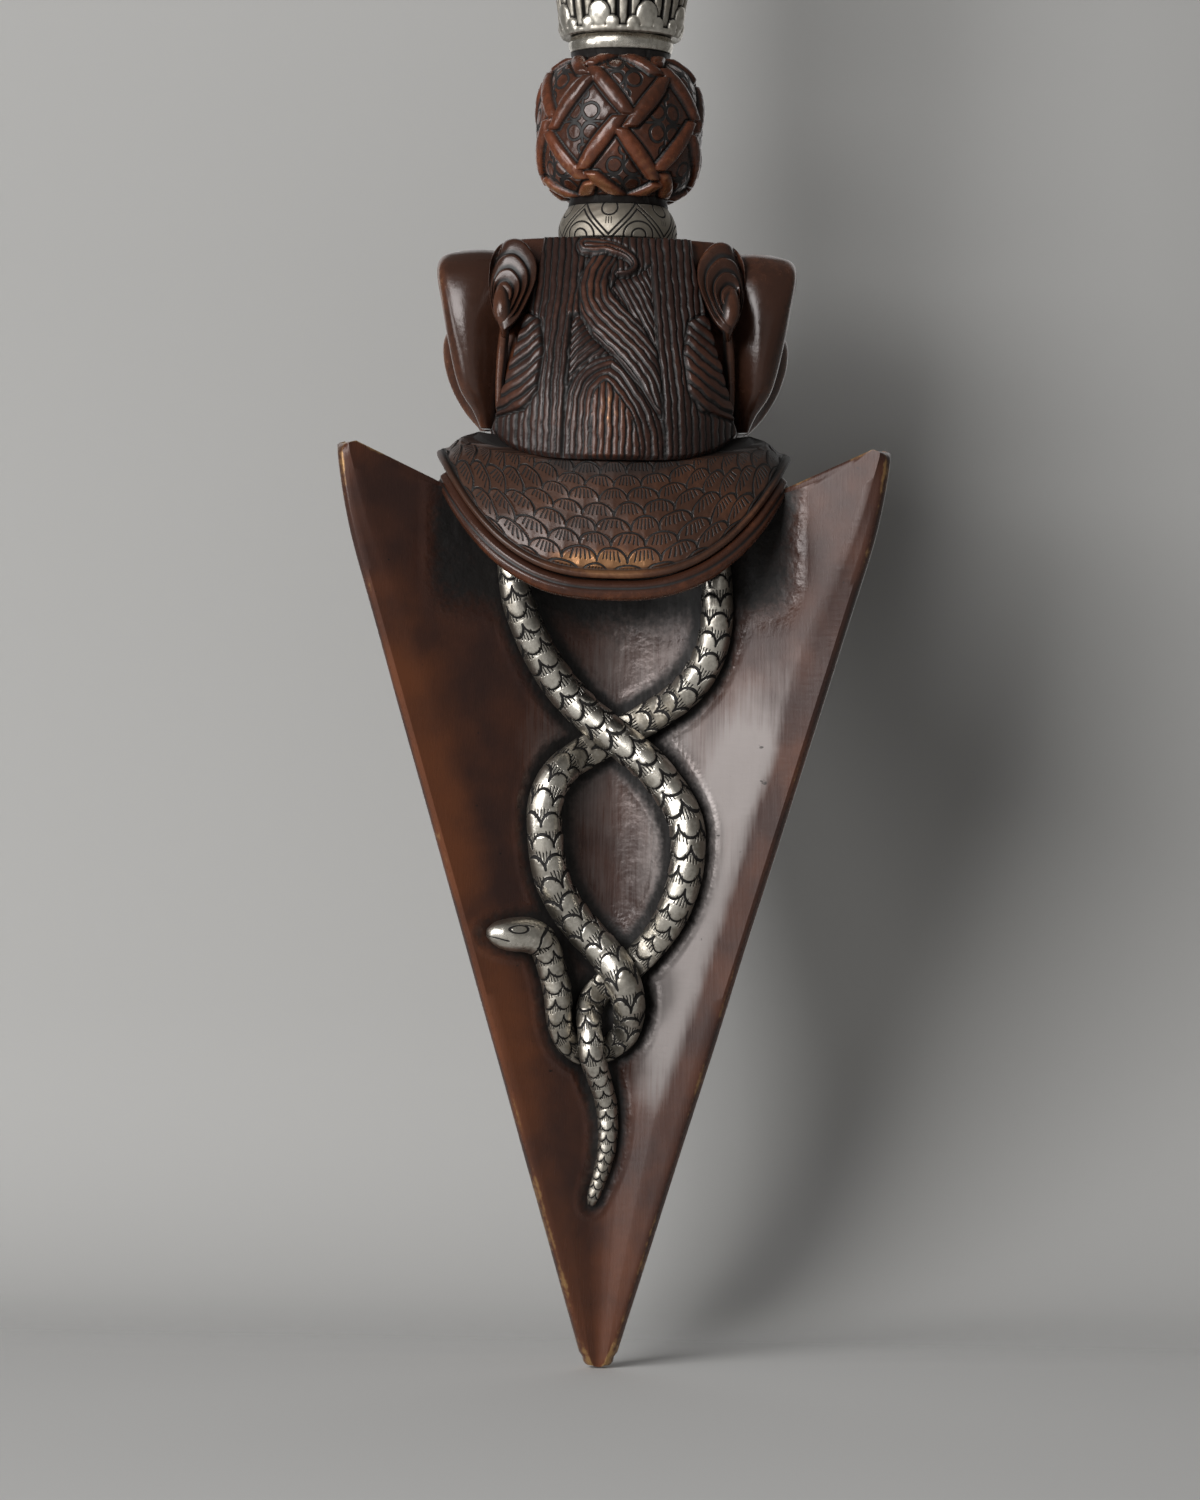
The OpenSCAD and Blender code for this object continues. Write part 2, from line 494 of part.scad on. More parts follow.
module bar(route) {
    p = curve([for (q = route) concat(behind(q[0], q[1], q[2]), [q[3]])], 2);
    skin([for (i = [0 : len(p) - 1]) let (
        a = p[max(i - 1, 0)], b = p[min(i + 1, len(p) - 1)],
        t = unit([b[0] - a[0], b[1] - a[1], b[2] - a[2]]), s = unit(cross([0, 1, 0], t)), u = cross(t, s))
        [for (k = [0 : 7]) [p[i][0], p[i][1], p[i][2]]
            + s * (p[i][3] * cos(45 * k)) + u * (p[i][3] * sin(45 * k))]]);
}
module horn(side) color(copper) mirrored(side) {
    horn_lobe();
    for (route = concat(crescents, [drop, stem])) bar(route);
}
module horn_left() horn(-1);
module horn_right() horn(1);

eye_y = 10.6;
eye_z = hollow_z + 33;
eye_sunk = 1; // how far an eye's middle lies inside the skull
module eye_ball(gap) translate([skull_side(eye_y, eye_z) - eye_sunk, eye_y, eye_z])
    rotate([0, 90, 0]) sphere(r = eye_r + gap);
module eye(side) color(silver) mirrored(side) eye_ball(0);
module eye_left() eye(-1);
module eye_right() eye(1);

// Four fangs under the upper lip, two each side of the back wing: sideways, forward
fang_places = [[5, 32.2], [8.5, 27]];
fang_r = 1.7; // radius of a fang at its root
module fangs() color(silver) difference() {
    for (side = [-1, 1], p = fang_places) mirrored(side)
        translate([p[0], p[1], hollow_z + top_drop * norm(p) / blade_reach - fang_h])
            cylinder(h = fang_h + over, r1 = 0.25, r2 = fang_r, $fn = 24);
    top_cone();
}

// The handle

edge_break = 0.3; // how far the ring's edges are broken
lotus_top_r = 6.6; // radius of a lotus under the bead

// A turned piece: its outline from bottom to top, round the tang's bore
module turned_piece(z, outline, bore = bore_r) translate([0, 0, z]) rotate_extrude($fn = 96)
    polygon(concat([[bore, outline[0][1]]], outline, [[bore, outline[len(outline) - 1][1]]]));

function dome(r1, r2, h, bulge) = [for (k = [0 : 8]) let (t = k / 8)
    [r1 + (r2 - r1) * t + bulge * sin(180 * t), h * t]];

module collar(z, flip) color(silver) translate([0, 0, z]) mirrored_z(flip, collar_h)
    turned_piece(0, dome(collar_r, collar_top_r, collar_h, 0.7));
module mirrored_z(flip, h) {
    if (flip) translate([0, 0, h]) mirror([0, 0, 1]) children();
    else children();
}
module neck_collar() collar(head_top, false);
module upper_collar() collar(upper_collar_z, true);

// A hollow ball, fuller than a sphere, with flat ends that are as wide as the collar's top
knot_end_r = collar_top_r + 0.2;
knot_power = 2.5;
knot_pole = knot_h / 2 / pow(1 - pow(knot_end_r / knot_r, knot_power), 1 / knot_power);
function knot_at(h, wall) = (knot_r - wall)
    * pow(max(0, 1 - pow(abs(h) / (knot_pole - wall), knot_power)), 1 / knot_power);
module knot(z) color(copper) difference() {
    turned_piece(z, [for (k = [-8 : 8]) [knot_at(knot_h / 16 * k, 0), knot_h / 16 * (k + 8)]]);
    translate([0, 0, z + knot_h / 2]) rotate_extrude($fn = 96)
        polygon([for (k = [-8 : 8]) let (h = (knot_h / 2 - knot_wall) / 8 * k)
            [max(bore_r, knot_at(h, knot_wall)), h],
            [bore_r - 0.5, knot_h / 2 - knot_wall], [bore_r - 0.5, knot_wall - knot_h / 2]]);
}
module lower_knot() knot(lower_knot_z);
module upper_knot() knot(upper_knot_z);

// A plain ring with its two edges broken
module ring(z) color(silver) turned_piece(z, [[ring_r - edge_break, 0], [ring_r, edge_break],
    [ring_r, ring_h - edge_break], [ring_r - edge_break, ring_h]]);
module lower_ring() ring(lower_ring_z);
module upper_ring() ring(upper_ring_z);

// Outline of a grip lotus: petals at its foot, fullest above them, drawn in under the bead
lotus_foot_r = 8.5;
petal_r = 8.8; // radius of the foot's petals
lotus_full = 0.55; // share of its height at which a lotus is fullest
ribs_z = 4.6; // where the ribs start above the foot's petals
rib_groove_r = 0.65; // radius of the groove between two ribs
rib_groove_out = 0.2; // how far a groove's middle lies outside the lotus
function lotus_at(t) = t < lotus_full ? petal_r + (lotus_r - petal_r) * sin(90 * t / lotus_full)
    : lotus_r - (lotus_r - lotus_top_r) * pow((t - lotus_full) / (1 - lotus_full), 1.7);
module lotus(z, flip) color(silver) translate([0, 0, z]) mirrored_z(flip, lotus_h) difference() {
    turned_piece(0, concat([[lotus_foot_r, 0]], [for (t = [0.04 : 0.08 : 0.96]) [lotus_at(t), lotus_h * t]],
        [[lotus_top_r, lotus_h]]));
    for (k = [0 : ribs - 1]) rotate([0, 0, 360 * (k + 0.5) / ribs])
        translate([lotus_r + rib_groove_out, 0, ribs_z]) cylinder(h = lotus_h, r = rib_groove_r, $fn = 16);
}
module lower_lotus() lotus(lower_lotus_z, false);
module upper_lotus() lotus(upper_lotus_z, true);
bead_end_r = lotus_top_r + 0.2;
module grip_bead() color(copper)
    turned_piece(bead_z, dome(bead_end_r, bead_end_r, bead_h, bead_r - bead_end_r));

// The pommel

module pommel_lotus() color(silver) turned_piece(seat_z, concat([[collar_r, 0]],
    [for (k = [1 : 7]) [collar_r + (seat_r - collar_r) * sin(90 * k / 7), 0.8 * seat_h * k / 7]],
    [[seat_r - 2.4, seat_h]]));

// The hub and central prong, a waisted spindle with a pointed end
module vajra_core() color(bronze) difference() {
    h = vajra_h;
    turned_piece(vajra_z, [[hub_r, 0], [hub_r, h * 0.16], [3.9, h * 0.2], [3.7, h * 0.24], [4.6, h * 0.38],
        [4.9, h * 0.52], [3.4, h * 0.66], [2.8, h * 0.74], [3.6, h * 0.8], [2.2, h * 0.92], [0.6, h]], 0);
    translate([0, 0, vajra_z - over]) cylinder(h = tang_rise + over + seat_gap, r = bore_r);
    pin_hole(pommel_pin_z, hub_r + over);
}

// One outer prong in the plane of +X: [reach, height as a share of the vajra, radius share]
prong_route = [[0.5, 0.06, 0.8], [0.72, 0.11, 0.9], [0.9, 0.22, 1], [0.97, 0.38, 1], [0.9, 0.55, 0.95],
    [0.7, 0.7, 0.85], [0.5, 0.78, 0.75], [0.42, 0.84, 0.5]];
module vajra_prongs() color(bronze) for (k = [0 : prongs - 1]) rotate([0, 0, 360 * (k + 0.5) / prongs]) {
    p = curve([for (q = prong_route) [prong_reach * q[0], vajra_z + vajra_h * q[1], prong_r * q[2]]], 2);
    skin([for (i = [0 : len(p) - 1]) let (
        a = p[max(i - 1, 0)], b = p[min(i + 1, len(p) - 1)], t = unit([b[0] - a[0], 0, b[1] - a[1]]),
        side = [0, 1, 0], u = cross(t, side))
        [for (w = [0 : 45 : 315])
            [p[i][0], 0, p[i][1]] - u * (p[i][2] * cos(w)) + side * (p[i][2] * sin(w))]]);
}

blade();
tang();
blade_pin();
serpent(descending_route, 0);  // descending_serpent_front
serpent(rising_route, 0);  // rising_serpent_front
serpent(descending_route, 120);  // descending_serpent_right
serpent(rising_route, 120);  // rising_serpent_right
serpent(descending_route, 240);  // descending_serpent_left
serpent(rising_route, 240);  // rising_serpent_left
makara_head();
lower_jaw();
jaw_lip();
mane();
ear_left();
ear_right();
horn_left();
horn_right();
eye_left();
eye_right();
fangs();
neck_collar();
lower_knot();
lower_ring();
lower_lotus();
grip_bead();
upper_lotus();
upper_ring();
upper_knot();
upper_collar();
pommel_lotus();
vajra_core();
vajra_prongs();
pommel_pin();
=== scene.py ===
# %% [markdown]
# # A three-winged ritual dagger, dressed for its portrait
#
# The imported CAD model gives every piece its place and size. It is loaded first, and nothing in it is
# moved. What this lesson adds is the goldsmith's work on top: scales, plaited bands, combed hair and
# petals as real relief, and metals that look cast, polished, blackened and worn.

# %% Load the frame
import math

import bpy
import numpy as np
from mathutils import Matrix, Vector


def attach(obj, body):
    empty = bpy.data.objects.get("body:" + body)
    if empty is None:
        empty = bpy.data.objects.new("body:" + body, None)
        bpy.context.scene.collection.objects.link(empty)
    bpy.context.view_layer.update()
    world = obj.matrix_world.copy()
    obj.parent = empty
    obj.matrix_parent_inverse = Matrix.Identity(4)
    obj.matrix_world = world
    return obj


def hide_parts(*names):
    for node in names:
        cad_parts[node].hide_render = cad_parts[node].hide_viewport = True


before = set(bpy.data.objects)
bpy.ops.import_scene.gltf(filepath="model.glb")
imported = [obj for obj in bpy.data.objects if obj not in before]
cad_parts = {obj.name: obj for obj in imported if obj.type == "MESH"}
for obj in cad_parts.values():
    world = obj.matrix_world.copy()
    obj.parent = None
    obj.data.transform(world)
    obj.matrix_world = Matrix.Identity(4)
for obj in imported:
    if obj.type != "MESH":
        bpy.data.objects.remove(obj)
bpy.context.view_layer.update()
MM = 0.001

# %% [markdown]
# The photograph looks at the dagger level and from the front, with a long lens. A camera 750 mm away
# with a 120 mm lens gives the same flat perspective. It is turned by one degree, because the dagger
# leans a little to the right in the frame. The camera is made by its three axes, which is plainer than
# angles when a view is level.

# %% The camera
LEAN = math.radians(1.0)
CAMERA_AWAY = 750
CAMERA_UP = 92.55
CAMERA_ASIDE = -1.3
FOCAL_LENGTH = 120
SENSOR_WIDTH = 36
lens = bpy.data.cameras.new("camera")
lens.lens = FOCAL_LENGTH
lens.sensor_width = SENSOR_WIDTH
camera = bpy.data.objects.new("camera", lens)
bpy.context.scene.collection.objects.link(camera)
right = Vector((math.cos(LEAN), 0, math.sin(LEAN)))
up = Vector((-math.sin(LEAN), 0, math.cos(LEAN)))
turn = Matrix((right, up, right.cross(up))).transposed().to_4x4()
place = Matrix.Translation((CAMERA_ASIDE * MM, -CAMERA_AWAY * MM, CAMERA_UP * MM))
camera.matrix_world = place @ turn
bpy.context.scene.camera = camera
print("camera at", [round(v, 4) for v in camera.matrix_world.translation])

# %% [markdown]
# Shader maths reads best as maths. A small class wraps a socket, and its operators add Math nodes, so
# `1 - mask * 0.5` builds two nodes. A second small class keeps one material's tree and adds any other
# node through a single method.

# %% Shader maths as Python expressions
def math_node(tree, operation, *values):
    """Adds one Math node and returns its result."""
    node = tree.nodes.new("ShaderNodeMath")
    node.operation = operation
    for socket, value in zip(node.inputs, values):
        if isinstance(value, Number):
            tree.links.new(value.socket, socket)
        else:
            socket.default_value = value
    return Number(tree, node.outputs[0])


def operator(operation, swapped=False):
    """A method that adds one Math node; swapped puts the number itself last."""
    def method(number, *others):
        values = (*others, number) if swapped else (number, *others)
        return math_node(number.tree, operation, *values)
    return method


class Number:
    """A number that varies over a surface. Each of its operators and small methods adds a node."""

    def __init__(self, tree, socket):
        self.tree = tree
        self.socket = socket

    __add__ = __radd__ = operator("ADD")
    __mul__ = __rmul__ = operator("MULTIPLY")
    __sub__ = operator("SUBTRACT")
    __rsub__ = operator("SUBTRACT", swapped=True)
    __truediv__ = operator("DIVIDE")
    __rtruediv__ = operator("DIVIDE", swapped=True)
    __mod__ = operator("FLOORED_MODULO")
    __pow__ = operator("POWER")
    __abs__ = operator("ABSOLUTE")
    at_most = operator("MINIMUM")
    at_least = operator("MAXIMUM")
    is_below = operator("LESS_THAN")
    floor = operator("FLOOR")
    fraction = operator("FRACT")
    root = operator("SQRT")

    def step(self, low, high):
        """0 up to low, 1 from high on, smooth between them."""
        node = self.tree.nodes.new("ShaderNodeMapRange")
        node.interpolation_type = "SMOOTHSTEP"
        self.tree.links.new(self.socket, node.inputs["Value"])
        node.inputs["From Min"].default_value = low
        node.inputs["From Max"].default_value = high
        return Number(self.tree, node.outputs["Result"])


class Finish:
    """One material: a Principled shader and what feeds it."""

    def __init__(self, name):
        self.material = bpy.data.materials.new(name)
        self.material.use_nodes = True
        self.tree = self.material.node_tree
        self.shader = self.tree.nodes["Principled BSDF"]
        self.place = self.add("ShaderNodeTexCoord").outputs["Object"]
        self.mm = self.add("ShaderNodeVectorMath", {"operation": "SCALE"},
                           {"Vector": self.place, "Scale": 1 / MM}).outputs[0]

    def add(self, kind, settings=None, sockets=None):
        """Any node: its settings first, then the values or links of its sockets."""
        node = self.tree.nodes.new(kind)
        for key, value in (settings or {}).items():
            setattr(node, key, value)
        for key, value in (sockets or {}).items():
            self.set(node.inputs[key], value)
        return node

    def set(self, socket, value):
        """Links a socket or a Number to a socket, or sets its value."""
        if isinstance(value, Number):
            value = value.socket
        if isinstance(value, bpy.types.NodeSocket):
            self.tree.links.new(value, socket)
        else:
            socket.default_value = (*value, 1) if socket.type == "RGBA" and len(value) == 3 else value

    def noise(self, size, detail=3, stretch=(1, 1, 1), warp=0.0):
        """Noise from 0 to 1 whose blobs are about size millimetres across."""
        scaled = self.add("ShaderNodeVectorMath", {"operation": "MULTIPLY"},
                          {0: self.mm, 1: tuple(1 / (size * s) for s in stretch)}).outputs[0]
        node = self.add("ShaderNodeTexNoise", None, {
            "Vector": scaled, "Scale": 1.0, "Detail": detail, "Roughness": 0.5, "Distortion": warp})
        return Number(self.tree, node.outputs["Fac"])

    def carved(self, *names):
        """Numbers that the mesh stores for each of its points."""
        return [Number(self.tree, self.add("ShaderNodeAttribute", {"attribute_name": name}).outputs["Fac"])
                for name in names]

    def pattern(self):
        """The three numbers that the mesh stores for its engraved pattern."""
        vector = self.add("ShaderNodeAttribute", {"attribute_name": "pattern"}).outputs["Vector"]
        parts = self.add("ShaderNodeSeparateXYZ", None, {0: vector}).outputs
        return [Number(self.tree, part) for part in parts]

    def blend(self, amount, first, second):
        """A colour between two others."""
        node = self.add("ShaderNodeMix", {"data_type": "RGBA"}, {0: amount})
        for socket, value in ((node.inputs[6], first), (node.inputs[7], second)):
            self.set(socket, value)
        return node.outputs[2]

    def bump(self, height, depth, base=None):
        """A bumped normal; depth is in millimetres."""
        sockets = {"Height": height, "Strength": 1.0, "Distance": depth * MM}
        if base is not None:
            sockets["Normal"] = base
        return self.add("ShaderNodeBump", None, sockets).outputs[0]

    def give(self, **inputs):
        """Feeds the Principled shader; a double underscore stands for a space."""
        for key, value in inputs.items():
            self.set(self.shader.inputs[key.replace("__", " ")], value)
        return self.material


# %% [markdown]
# Most of this object is cast metal whose surface follows a rule, so its pieces are grids of points from
# formulas. One helper turns a stack of rings into a closed mesh and another lifts a grid along its own
# normals, which is how every scale, strand and petal gets its relief. Each point also keeps two numbers
# for the metal's finish: how high it stands, where hands polish it, and how deep it is cut, where
# blackening stays. On some pieces the first also paints a highlight and the second paints shade.

# %% Helpers that turn grids of points into metal
FLAT = np.array([1, 1, 0])


def make_piece(name, part, finish, node_names=()):
    """A mesh object from a part in millimetres; it rides on the dagger and stands for CAD nodes.

    A part is its points, its faces and the numbers it carries. Without node names it stays loose.
    """
    points, faces, carried = part
    mesh = bpy.data.meshes.new(name)
    sizes = np.array([len(face) for face in faces])
    corners = np.concatenate([np.ravel(face) for face in faces])
    mesh.vertices.add(len(points))
    mesh.vertices.foreach_set("co", (np.asarray(points) * MM).ravel().astype(np.float32))
    mesh.loops.add(len(corners))
    mesh.loops.foreach_set("vertex_index", corners.astype(np.int32))
    mesh.polygons.add(len(sizes))
    mesh.polygons.foreach_set("loop_start", np.concatenate([[0], np.cumsum(sizes)[:-1]]).astype(np.int32))
    mesh.update(calc_edges=True)
    mesh.validate()
    mesh.shade_smooth()
    for key, values in carried.items():
        values = np.asarray(values, np.float32)
        if values.ndim == 1:
            mesh.attributes.new(key, "FLOAT", "POINT").data.foreach_set("value", values)
        else:
            mesh.attributes.new(key, "FLOAT_VECTOR", "CORNER").data.foreach_set("vector", values.ravel())
    piece = bpy.data.objects.new(name, mesh)
    bpy.context.scene.collection.objects.link(piece)
    mesh.materials.append(finish)
    if node_names:
        settle(piece, node_names)
    return piece


def settle(piece, node_names):
    """A finished piece rides on the dagger's one body and stands for its CAD nodes."""
    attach(piece, "root")
    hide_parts(*node_names)
    print(piece.name, len(piece.data.polygons), "faces for", ", ".join(node_names))


def grid_faces(rows, columns, around):
    """Quads between the points of a grid; around joins its last column to its first."""
    j = np.arange(rows - 1)[:, None]
    i = np.arange(columns if around else columns - 1)[None, :]
    k = (i + 1) % columns
    return np.stack([j * columns + i, j * columns + k, (j + 1) * columns + k, (j + 1) * columns + i],
                    axis=-1).reshape(-1, 4)


def signed_volume(points, quads):
    """The volume inside the quads, negative where they face inwards."""
    a, b, c, d = (points[quads[:, k]] for k in range(4))
    return (np.einsum("ij,ij->", a, np.cross(b, c)) + np.einsum("ij,ij->", a, np.cross(c, d))) / 6


def ringed(rings, carved=None, pattern=None, peak=None):
    """A closed part through rings, with each end a fan."""
    rows, columns = rings.shape[:2]
    peak = rings[-1].mean(0) if peak is None else np.array(peak)
    points = np.concatenate([rings.reshape(-1, 3), rings[0].mean(0)[None], peak[None]])
    quads = grid_faces(rows, columns, True)
    i = np.arange(columns)
    k = (i + 1) % columns
    first, last = rows * columns, (rows - 1) * columns
    ends = np.concatenate([np.stack([np.full(columns, first), k, i], 1),
                           np.stack([np.full(columns, first + 1), last + i, last + k], 1)])
    flip = signed_volume(points, quads) < 0
    if flip:
        quads, ends = quads[:, ::-1], ends[:, ::-1]
    carried = {}
    for key, values in (carved or {}).items():
        carried[key] = np.concatenate([values.ravel(), [values[0].mean(), values[-1].mean()]])
    if pattern is not None:
        flat = np.concatenate([pattern[:-1, :-1, None], pattern[:-1, 1:, None],
                               pattern[1:, 1:, None], pattern[1:, :-1, None]], axis=2)
        flat = flat.reshape(-1, 4, 3)[:, ::-1] if flip else flat.reshape(-1, 4, 3)
        caps = np.concatenate([np.repeat(pattern[end, :-1, None], 3, axis=1) for end in (0, -1)])
        carried["pattern"] = np.concatenate([flat.reshape(-1, 3), caps.reshape(-1, 3)])
    return points, list(quads) + list(ends), carried


def lifted(grid, height, around=True, outward=None):
    """The grid moved along its normals by height, away from the axis or to the side called outward.

    around says that the grid's last column lies beside its first.
    """
    if around:
        side = np.roll(grid, -1, axis=1) - np.roll(grid, 1, axis=1)
    else:
        side = np.gradient(grid, axis=1)
    n = np.cross(side, np.gradient(grid, axis=0))
    n = n / np.maximum(np.linalg.norm(n, axis=2, keepdims=True), 1e-9)
    outward = grid * FLAT if outward is None else outward
    n *= np.sign(np.einsum("ijk,ijk->ij", n, outward))[..., None]
    return grid + n * height[..., None]


def unit(vectors):
    """Each vector at length 1."""
    return vectors / np.linalg.norm(vectors, axis=-1, keepdims=True)


def square_to(way, vectors):
    """The vectors' directions square to the unit vectors way."""
    return unit(vectors - way * np.einsum("ij,ij->i", vectors, way)[:, None])


def circle(sides):
    """Radians round a full circle."""
    return np.arange(sides) * 2 * np.pi / sides


def angles(sides):
    """Degrees round the axis from -180 to 180, with both ends."""
    return np.arange(sides + 1) * 360 / sides - 180


def clamp(x):
    """x kept between 0 and 1."""
    return np.clip(x, 0, 1)


def soft_step(x, low, high):
    """0 up to low, 1 from high on, smooth between them."""
    t = clamp((x - low) / (high - low))
    return t * t * (3 - 2 * t)


def fall(x, low, high):
    """1 up to low, 0 from high on, smooth between them."""
    return 1 - soft_step(x, low, high)


def bell(x, width):
    """1 where x is 0, falling off to either side over the width."""
    return np.exp(-(x / width) ** 2)


def through(points, steps):
    """Catmull-Rom curve through points, with as many steps between two neighbours."""
    p = np.asarray(points, float)
    out = []
    for i in range(len(p) - 1):
        a, b, c, d = p[max(i - 1, 0)], p[i], p[i + 1], p[min(i + 2, len(p) - 1)]
        for t in np.arange(steps) / steps:
            out.append(0.5 * (2 * b + (c - a) * t + (2 * a - 5 * b + 4 * c - d) * t ** 2
                              + (3 * b - a - 3 * c + d) * t ** 3))
    return np.array(out + [p[-1]])


def evenly(curve, step):
    """The curve's points again, step apart along its first three numbers."""
    gaps = np.linalg.norm(np.diff(curve[:, :3], axis=0), axis=1)
    along = np.concatenate([[0], np.cumsum(gaps)])
    want = np.linspace(0, along[-1], max(int(along[-1] / step), 2) + 1)
    return np.stack([np.interp(want, along, curve[:, k]) for k in range(curve.shape[1])], 1), want


def ripple(x, y, sizes, seed):
    """Smooth unevenness, about -1 to 1: a few crossing waves of the given lengths."""
    rng = np.random.default_rng(seed)
    total = 0
    for size in sizes:
        for _ in range(3):
            way, phase = rng.uniform(0, 2 * np.pi, 2)
            total = total + np.sin((x * np.cos(way) + y * np.sin(way)) * 2 * np.pi / size + phase)
    return total / (1.7 * np.sqrt(3 * len(sizes)))


def turned(points, degrees):
    """Points turned about the dagger's axis."""
    a = math.radians(degrees)
    spin = np.array([[math.cos(a), -math.sin(a), 0], [math.sin(a), math.cos(a), 0], [0, 0, 1]])
    return np.asarray(points) @ spin.T


print("helpers ready")

# %% [markdown]
# Four metals make the dagger: silver for the serpents, collars and lotuses, a red copper for the knots
# and the beast, a brown bronze for the blade and the vajra, and iron for the tang inside. All are old.
# Copper and bronze wear a thin brown oxide, which is no metal: it shines white like lacquer, so Metallic
# is low there and the colour sits under the shine. Only where hands have rubbed through it does it rise.

# %% The copper of the knots and the beast
OXIDE_IOR = 1.46
# Black of the hollows, which also paints shade where a cut mark asks for it.
HOLLOW_AND_SHADE_BLACK = (0.007, 0.0055, 0.005)
RUBBED_GOLD_AND_HIGHLIGHT = (0.40, 0.21, 0.10)
FINE_BUMP = 0.012
SPECK_BUMP = 0.03
COPPER_LINE = 0.12
SILVER_LINE = 0.1


def engraved(f, cut, lines, depth, normal):
    """The darkness of the cuts and the normal, both with the lines that lines(finish) may draw."""
    if lines is None:
        return cut, normal
    drawn = lines(f)
    return (cut + drawn).at_most(1.0), f.bump(1 - drawn, depth, normal)


def copper_finish(name, lines=None, shine=0.3, brown=(0.044, 0.016, 0.009), red=(0.128, 0.040, 0.016),
                  worn_low=0.7, worn_high=1.25):
    """Copper under brown oxide, redder where it stands high. lines(finish) may return engraved lines."""
    f = Finish(name)
    f.shader.inputs["IOR"].default_value = OXIDE_IOR
    rise, cut = f.carved("rise", "cut")
    cloud = f.noise(9, 4)
    speck = f.noise(0.9, 3)
    fine = f.noise(0.25, 2)
    uneven = f.bump(speck, SPECK_BUMP, f.bump(fine, FINE_BUMP))
    dark, normal = engraved(f, cut, lines, COPPER_LINE, uneven)
    warm = (rise * 0.7 + (cloud - 0.5) * 1.1 + (speck - 0.5) * 0.5).step(0.1, 0.75)
    metal = f.blend(warm, brown, red)
    # Wear, which on the jaw and the mane also paints a highlight.
    wear_and_highlight = (rise + (speck - 0.5) * 0.6 + (cloud - 0.5) * 0.7).step(worn_low, worn_high) * (1 - dark)
    metal = f.blend(wear_and_highlight * 0.75, metal, RUBBED_GOLD_AND_HIGHLIGHT)
    colour = f.blend(dark.step(0.1, 0.85), metal, HOLLOW_AND_SHADE_BLACK)
    f.give(Base__Color=colour, Metallic=0.08 + wear_and_highlight * 0.7 - dark * 0.08, Normal=normal,
           Roughness=shine + (cloud - 0.5) * 0.18 + (speck - 0.5) * 0.16 + dark * 0.3)
    return f.material


# %% The silver of the serpents and the handle
SILVER_WHITE = (0.82, 0.78, 0.70)
SILVER_DULL = (0.30, 0.27, 0.225)


def silver_finish(name, lines=None, shine=0.24, tarnish=0.5):
    """Old silver, bright where it stands high, yellow-grey in the low places, with blackened cuts."""
    f = Finish(name)
    rise, cut = f.carved("rise", "cut")
    cloud = f.noise(6, 4)
    speck = f.noise(0.7, 3)
    fine = f.noise(0.2, 2)
    dark, normal = engraved(f, cut, lines, SILVER_LINE, f.bump(fine, FINE_BUMP))
    dull = (cloud - rise * 0.5 + (speck - 0.5) * 0.8 + tarnish).step(0.15, 1.0)
    metal = f.blend(dull, SILVER_WHITE, SILVER_DULL)
    colour = f.blend(dark.step(0.1, 0.75), metal, HOLLOW_AND_SHADE_BLACK)
    f.give(Base__Color=colour, Metallic=1.0 - dark * 0.7, Normal=normal,
           Roughness=shine + dull * 0.2 + dark * 0.35)
    return f.material


# %% [markdown]
# The blade is the plainest piece and the hardest to fake. It is three wings that meet in rounded
# hollows. The same rule as in the CAD gives its section at each height, but each line of points runs
# from the tip to the sloping top, so the top edge is one clean line. Slow waves a few hundredths of a
# millimetre deep keep its reflections from looking rolled.

# %% The blade's rule
BLADE_H = 138.4
BLADE_REACH = 46.5
TIP_REACH = 2.2
SHOULDER_H = 18.4
SHOULDER_LEAN = 0.08
TOP_DROP = 18.3
EDGE_T = 1.8
WEB_TIP_T = 2.2
WEB_TOP_T = 3.6
VALLEY_R = 20.0
BEVEL_W = 6.0
HOLLOW_Z = BLADE_H - TOP_DROP
WING_SLOPE = (BLADE_REACH - TIP_REACH - SHOULDER_LEAN * SHOULDER_H / 2) / (BLADE_H - SHOULDER_H / 2)
SIN_60 = math.sin(math.radians(60))


def reach(z):
    """How far the wings reach out at height z."""
    return TIP_REACH + WING_SLOPE * z - (WING_SLOPE - SHOULDER_LEAN) / (2 * SHOULDER_H) \
        * np.maximum(0, z - BLADE_H + SHOULDER_H) ** 2


def web(z):
    """Half of a wing's thickness."""
    return (WEB_TIP_T + (WEB_TOP_T - WEB_TIP_T) * reach(z) / BLADE_REACH) / 2


def hollow_r(z):
    """Radius of the hollow between two wings."""
    return VALLEY_R * reach(z) / BLADE_REACH


def hollow_c(z):
    """How far that hollow's centre is from the axis."""
    return (hollow_r(z) + web(z)) / SIN_60


def bevel(z):
    """Width of the bevel along a wing's edge."""
    return 0.3 + BEVEL_W * 4 * (z / BLADE_H) * (1 - z / BLADE_H)


def wing_point(side, u, w):
    """A point of the section: u out along a wing, w off its middle plane towards the valley."""
    return [u * 0.5 + w * SIN_60, side * (u * SIN_60 - w * 0.5)]


WEB_STEPS = 22
ARC_STEPS = 26
TURNS = (-90, 30, 150)


